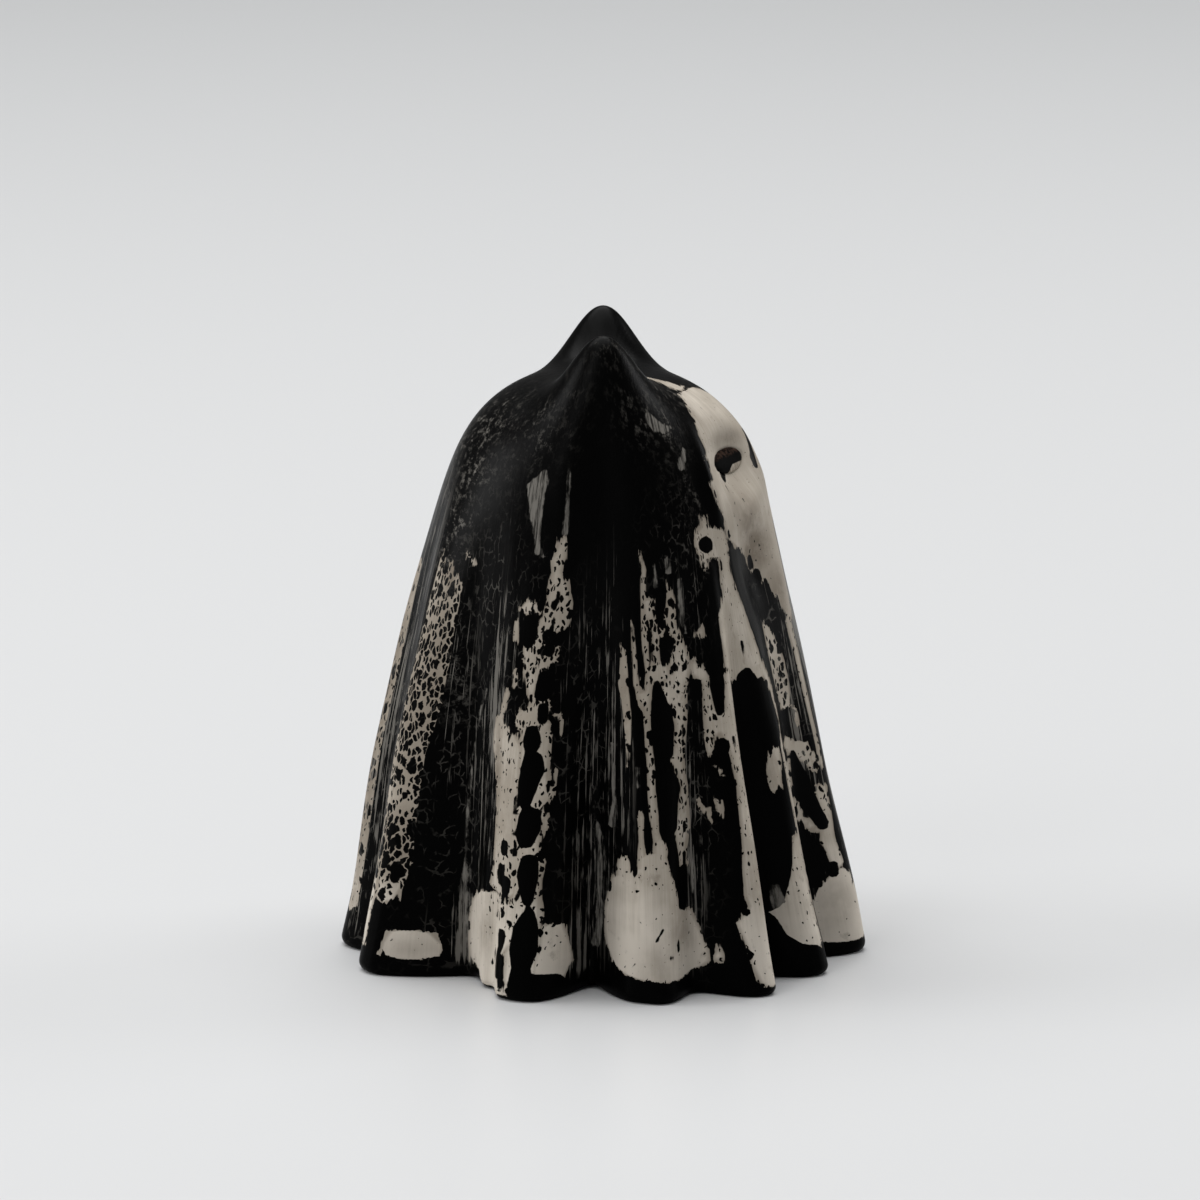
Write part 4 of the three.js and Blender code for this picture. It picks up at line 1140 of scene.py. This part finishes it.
def make_eye(side):
    """An inlaid eye: an oval body in its pocket under a low dome, a quarter ellipse in profile.

    Its lid starts below the middle in front and runs out behind. Its roof lies along the top.
    """
    middle, across, upward, outward = eye_frame(side)
    angle = np.linspace(0, 2 * np.pi, EYE_COLUMNS, endpoint=False) * -side
    bulge = np.linspace(0, np.pi / 2, 9)[1:]
    profile = [(np.sin(swing), EYE_PROUD + EYE_DOME * np.cos(swing)) for swing in bulge]
    profile.append((EYE_EDGE[0], EYE_PROUD - EYE_EDGE[1]))
    profile += [(share, EYE_PROUD - sunk * EYE_BODY) for share, sunk in EYE_SKIRT]
    oval = (EYE_HALF_WIDTH * np.cos(angle)[:, None] * across
            + EYE_HALF_HEIGHT * np.sin(angle)[:, None] * upward)
    rings = np.array([middle + share * oval + rise * outward for share, rise in profile])
    name = "right_eye_inlay" if side > 0 else "left_eye_inlay"
    piece = mesh_from_rings(name, rings, middle + (EYE_PROUD + EYE_DOME) * outward,
                            middle + (EYE_PROUD - EYE_BODY + 0.1) * outward)
    offset = np.array([point.co for point in piece.data.vertices]) / MM - middle
    forward, rise = side * offset @ across / EYE_HALF_WIDTH, offset @ upward / EYE_HALF_HEIGHT
    brim = 0.30 + 0.8 * smooth_step(-forward, -0.1, 0.5)
    set_field(piece.data, "lid", smooth_step(-rise, brim, brim + 0.3))
    set_field(piece.data, "roof", smooth_step(rise, 0.2, 0.5))
    return piece


# The photograph's view: the figurine's right side, from a little above
CAMERA_AIM = (0.0, 0.0003, 0.03665)
CAMERA_DISTANCE, CAMERA_RISE = 0.8, math.radians(12.0)
CAMERA_LENS, CAMERA_SENSOR = 234.5, 36.0


def make_camera():
    camera = bpy.data.objects.new("camera", bpy.data.cameras.new("camera"))
    camera.data.lens = CAMERA_LENS
    camera.data.sensor_width = CAMERA_SENSOR
    camera.data.clip_start = 0.01
    back = Vector((-math.cos(CAMERA_RISE), 0, math.sin(CAMERA_RISE)))
    camera.location = Vector(CAMERA_AIM) + CAMERA_DISTANCE * back
    camera.rotation_euler = back.to_track_quat("Z", "Y").to_euler()
    bpy.context.collection.objects.link(camera)
    bpy.context.scene.camera = camera


FLOOR_RADIUS = 3.0
# The floor's colour darkens from near to far: a painted shade of the light falling off
NEAR_FLOOR, FAR_FLOOR = (0.63, 0.635, 0.64, 1), (0.585, 0.595, 0.60, 1)


def make_floor():
    """A pale disc with a painted shade that darkens it evenly outwards, so that it also stands for the
    backdrop.
    """
    angle = np.linspace(0, 2 * np.pi, 96, endpoint=False)
    mesh = bpy.data.meshes.new("floor")
    rim = np.stack([FLOOR_RADIUS * np.cos(angle), FLOOR_RADIUS * np.sin(angle), 0 * angle], -1)
    mesh.from_pydata(rim.tolist(), [], [list(range(len(angle)))])
    floor = bpy.data.objects.new("floor", mesh)
    bpy.context.collection.objects.link(floor)
    material, tree = new_material("floor_sweep")
    place = tree.node("ShaderNodeTexCoord").outputs["Object"]
    away = tree.node("ShaderNodeVectorMath", (place,), operation="LENGTH").outputs["Value"]
    # Painted shade: darker away from the middle
    colour = tree.blend(tree.ease(away, 0.1, 1.1), NEAR_FLOOR, FAR_FLOOR)
    shader = tree.node("ShaderNodeBsdfPrincipled", {"Base Color": colour, "Roughness": 0.35,
                                                   "Specular IOR Level": 0.3})
    output = tree.node("ShaderNodeOutputMaterial")
    tree.tree.links.new(shader.outputs[0], output.inputs["Surface"])
    mesh.materials.append(material)


def make_lamp(name, place, size, power, aim=(0, 0, 0.03)):
    """A soft box: a square area lamp of a width in metres, turned to the aim."""
    lamp = bpy.data.lights.new(name, "AREA")
    lamp.shape = "SQUARE"
    lamp.size = size
    lamp.energy = power
    box = bpy.data.objects.new(name, lamp)
    box.location = place
    box.rotation_euler = (Vector(place) - Vector(aim)).to_track_quat("Z", "Y").to_euler()
    bpy.context.collection.objects.link(box)


def make_light():
    """A big soft box overhead, one at the picture's left and one at its right, a fill and a weak world."""
    make_lamp("overhead", (0.25, 0.1, 1.2), 1.5, 24.0)
    make_lamp("left side", (0.0, 0.95, 0.35), 0.5, 4.0)
    make_lamp("right side", (0.35, -0.9, 0.35), 0.5, 3.0)
    make_lamp("front fill", (-0.9, 0.7, 0.9), 0.5, 2.0)
    world = bpy.data.worlds.new("room")
    world.use_nodes = True
    world.node_tree.nodes["Background"].inputs["Color"].default_value = (1.0, 1.0, 1.0, 1)
    world.node_tree.nodes["Background"].inputs["Strength"].default_value = 0.10
    bpy.context.scene.world = world


def dress(piece, material, slot, *nodes):
    """Gives a piece its material, and lets it stand for its nodes on the one body. The slot is not used."""
    piece.data.materials.append(material)
    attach(piece, "root")
    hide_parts(*nodes)


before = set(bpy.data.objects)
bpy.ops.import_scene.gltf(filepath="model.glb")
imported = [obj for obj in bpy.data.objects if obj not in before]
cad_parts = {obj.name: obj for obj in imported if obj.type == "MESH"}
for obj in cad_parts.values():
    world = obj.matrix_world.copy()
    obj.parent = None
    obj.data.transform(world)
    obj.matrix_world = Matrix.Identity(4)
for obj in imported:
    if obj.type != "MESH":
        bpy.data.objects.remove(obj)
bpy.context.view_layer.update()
bpy.context.scene.view_settings.view_transform = "Standard"
make_camera()
make_floor()
make_light()

grain = grain_group()
ragged = ragged_group()
eye_black = inlaid_eye(grain)
dress(make_shell(), marbled_resin(ragged, cells_group(), grain), "marbled_resin", "sheet_shell")
dress(make_plug(), plug_resin(grain), "plug_resin", "base_plug")
dress(make_eye(1), eye_black, "eye_black", "right_eye")
dress(make_eye(-1), eye_black, "eye_black", "left_eye")
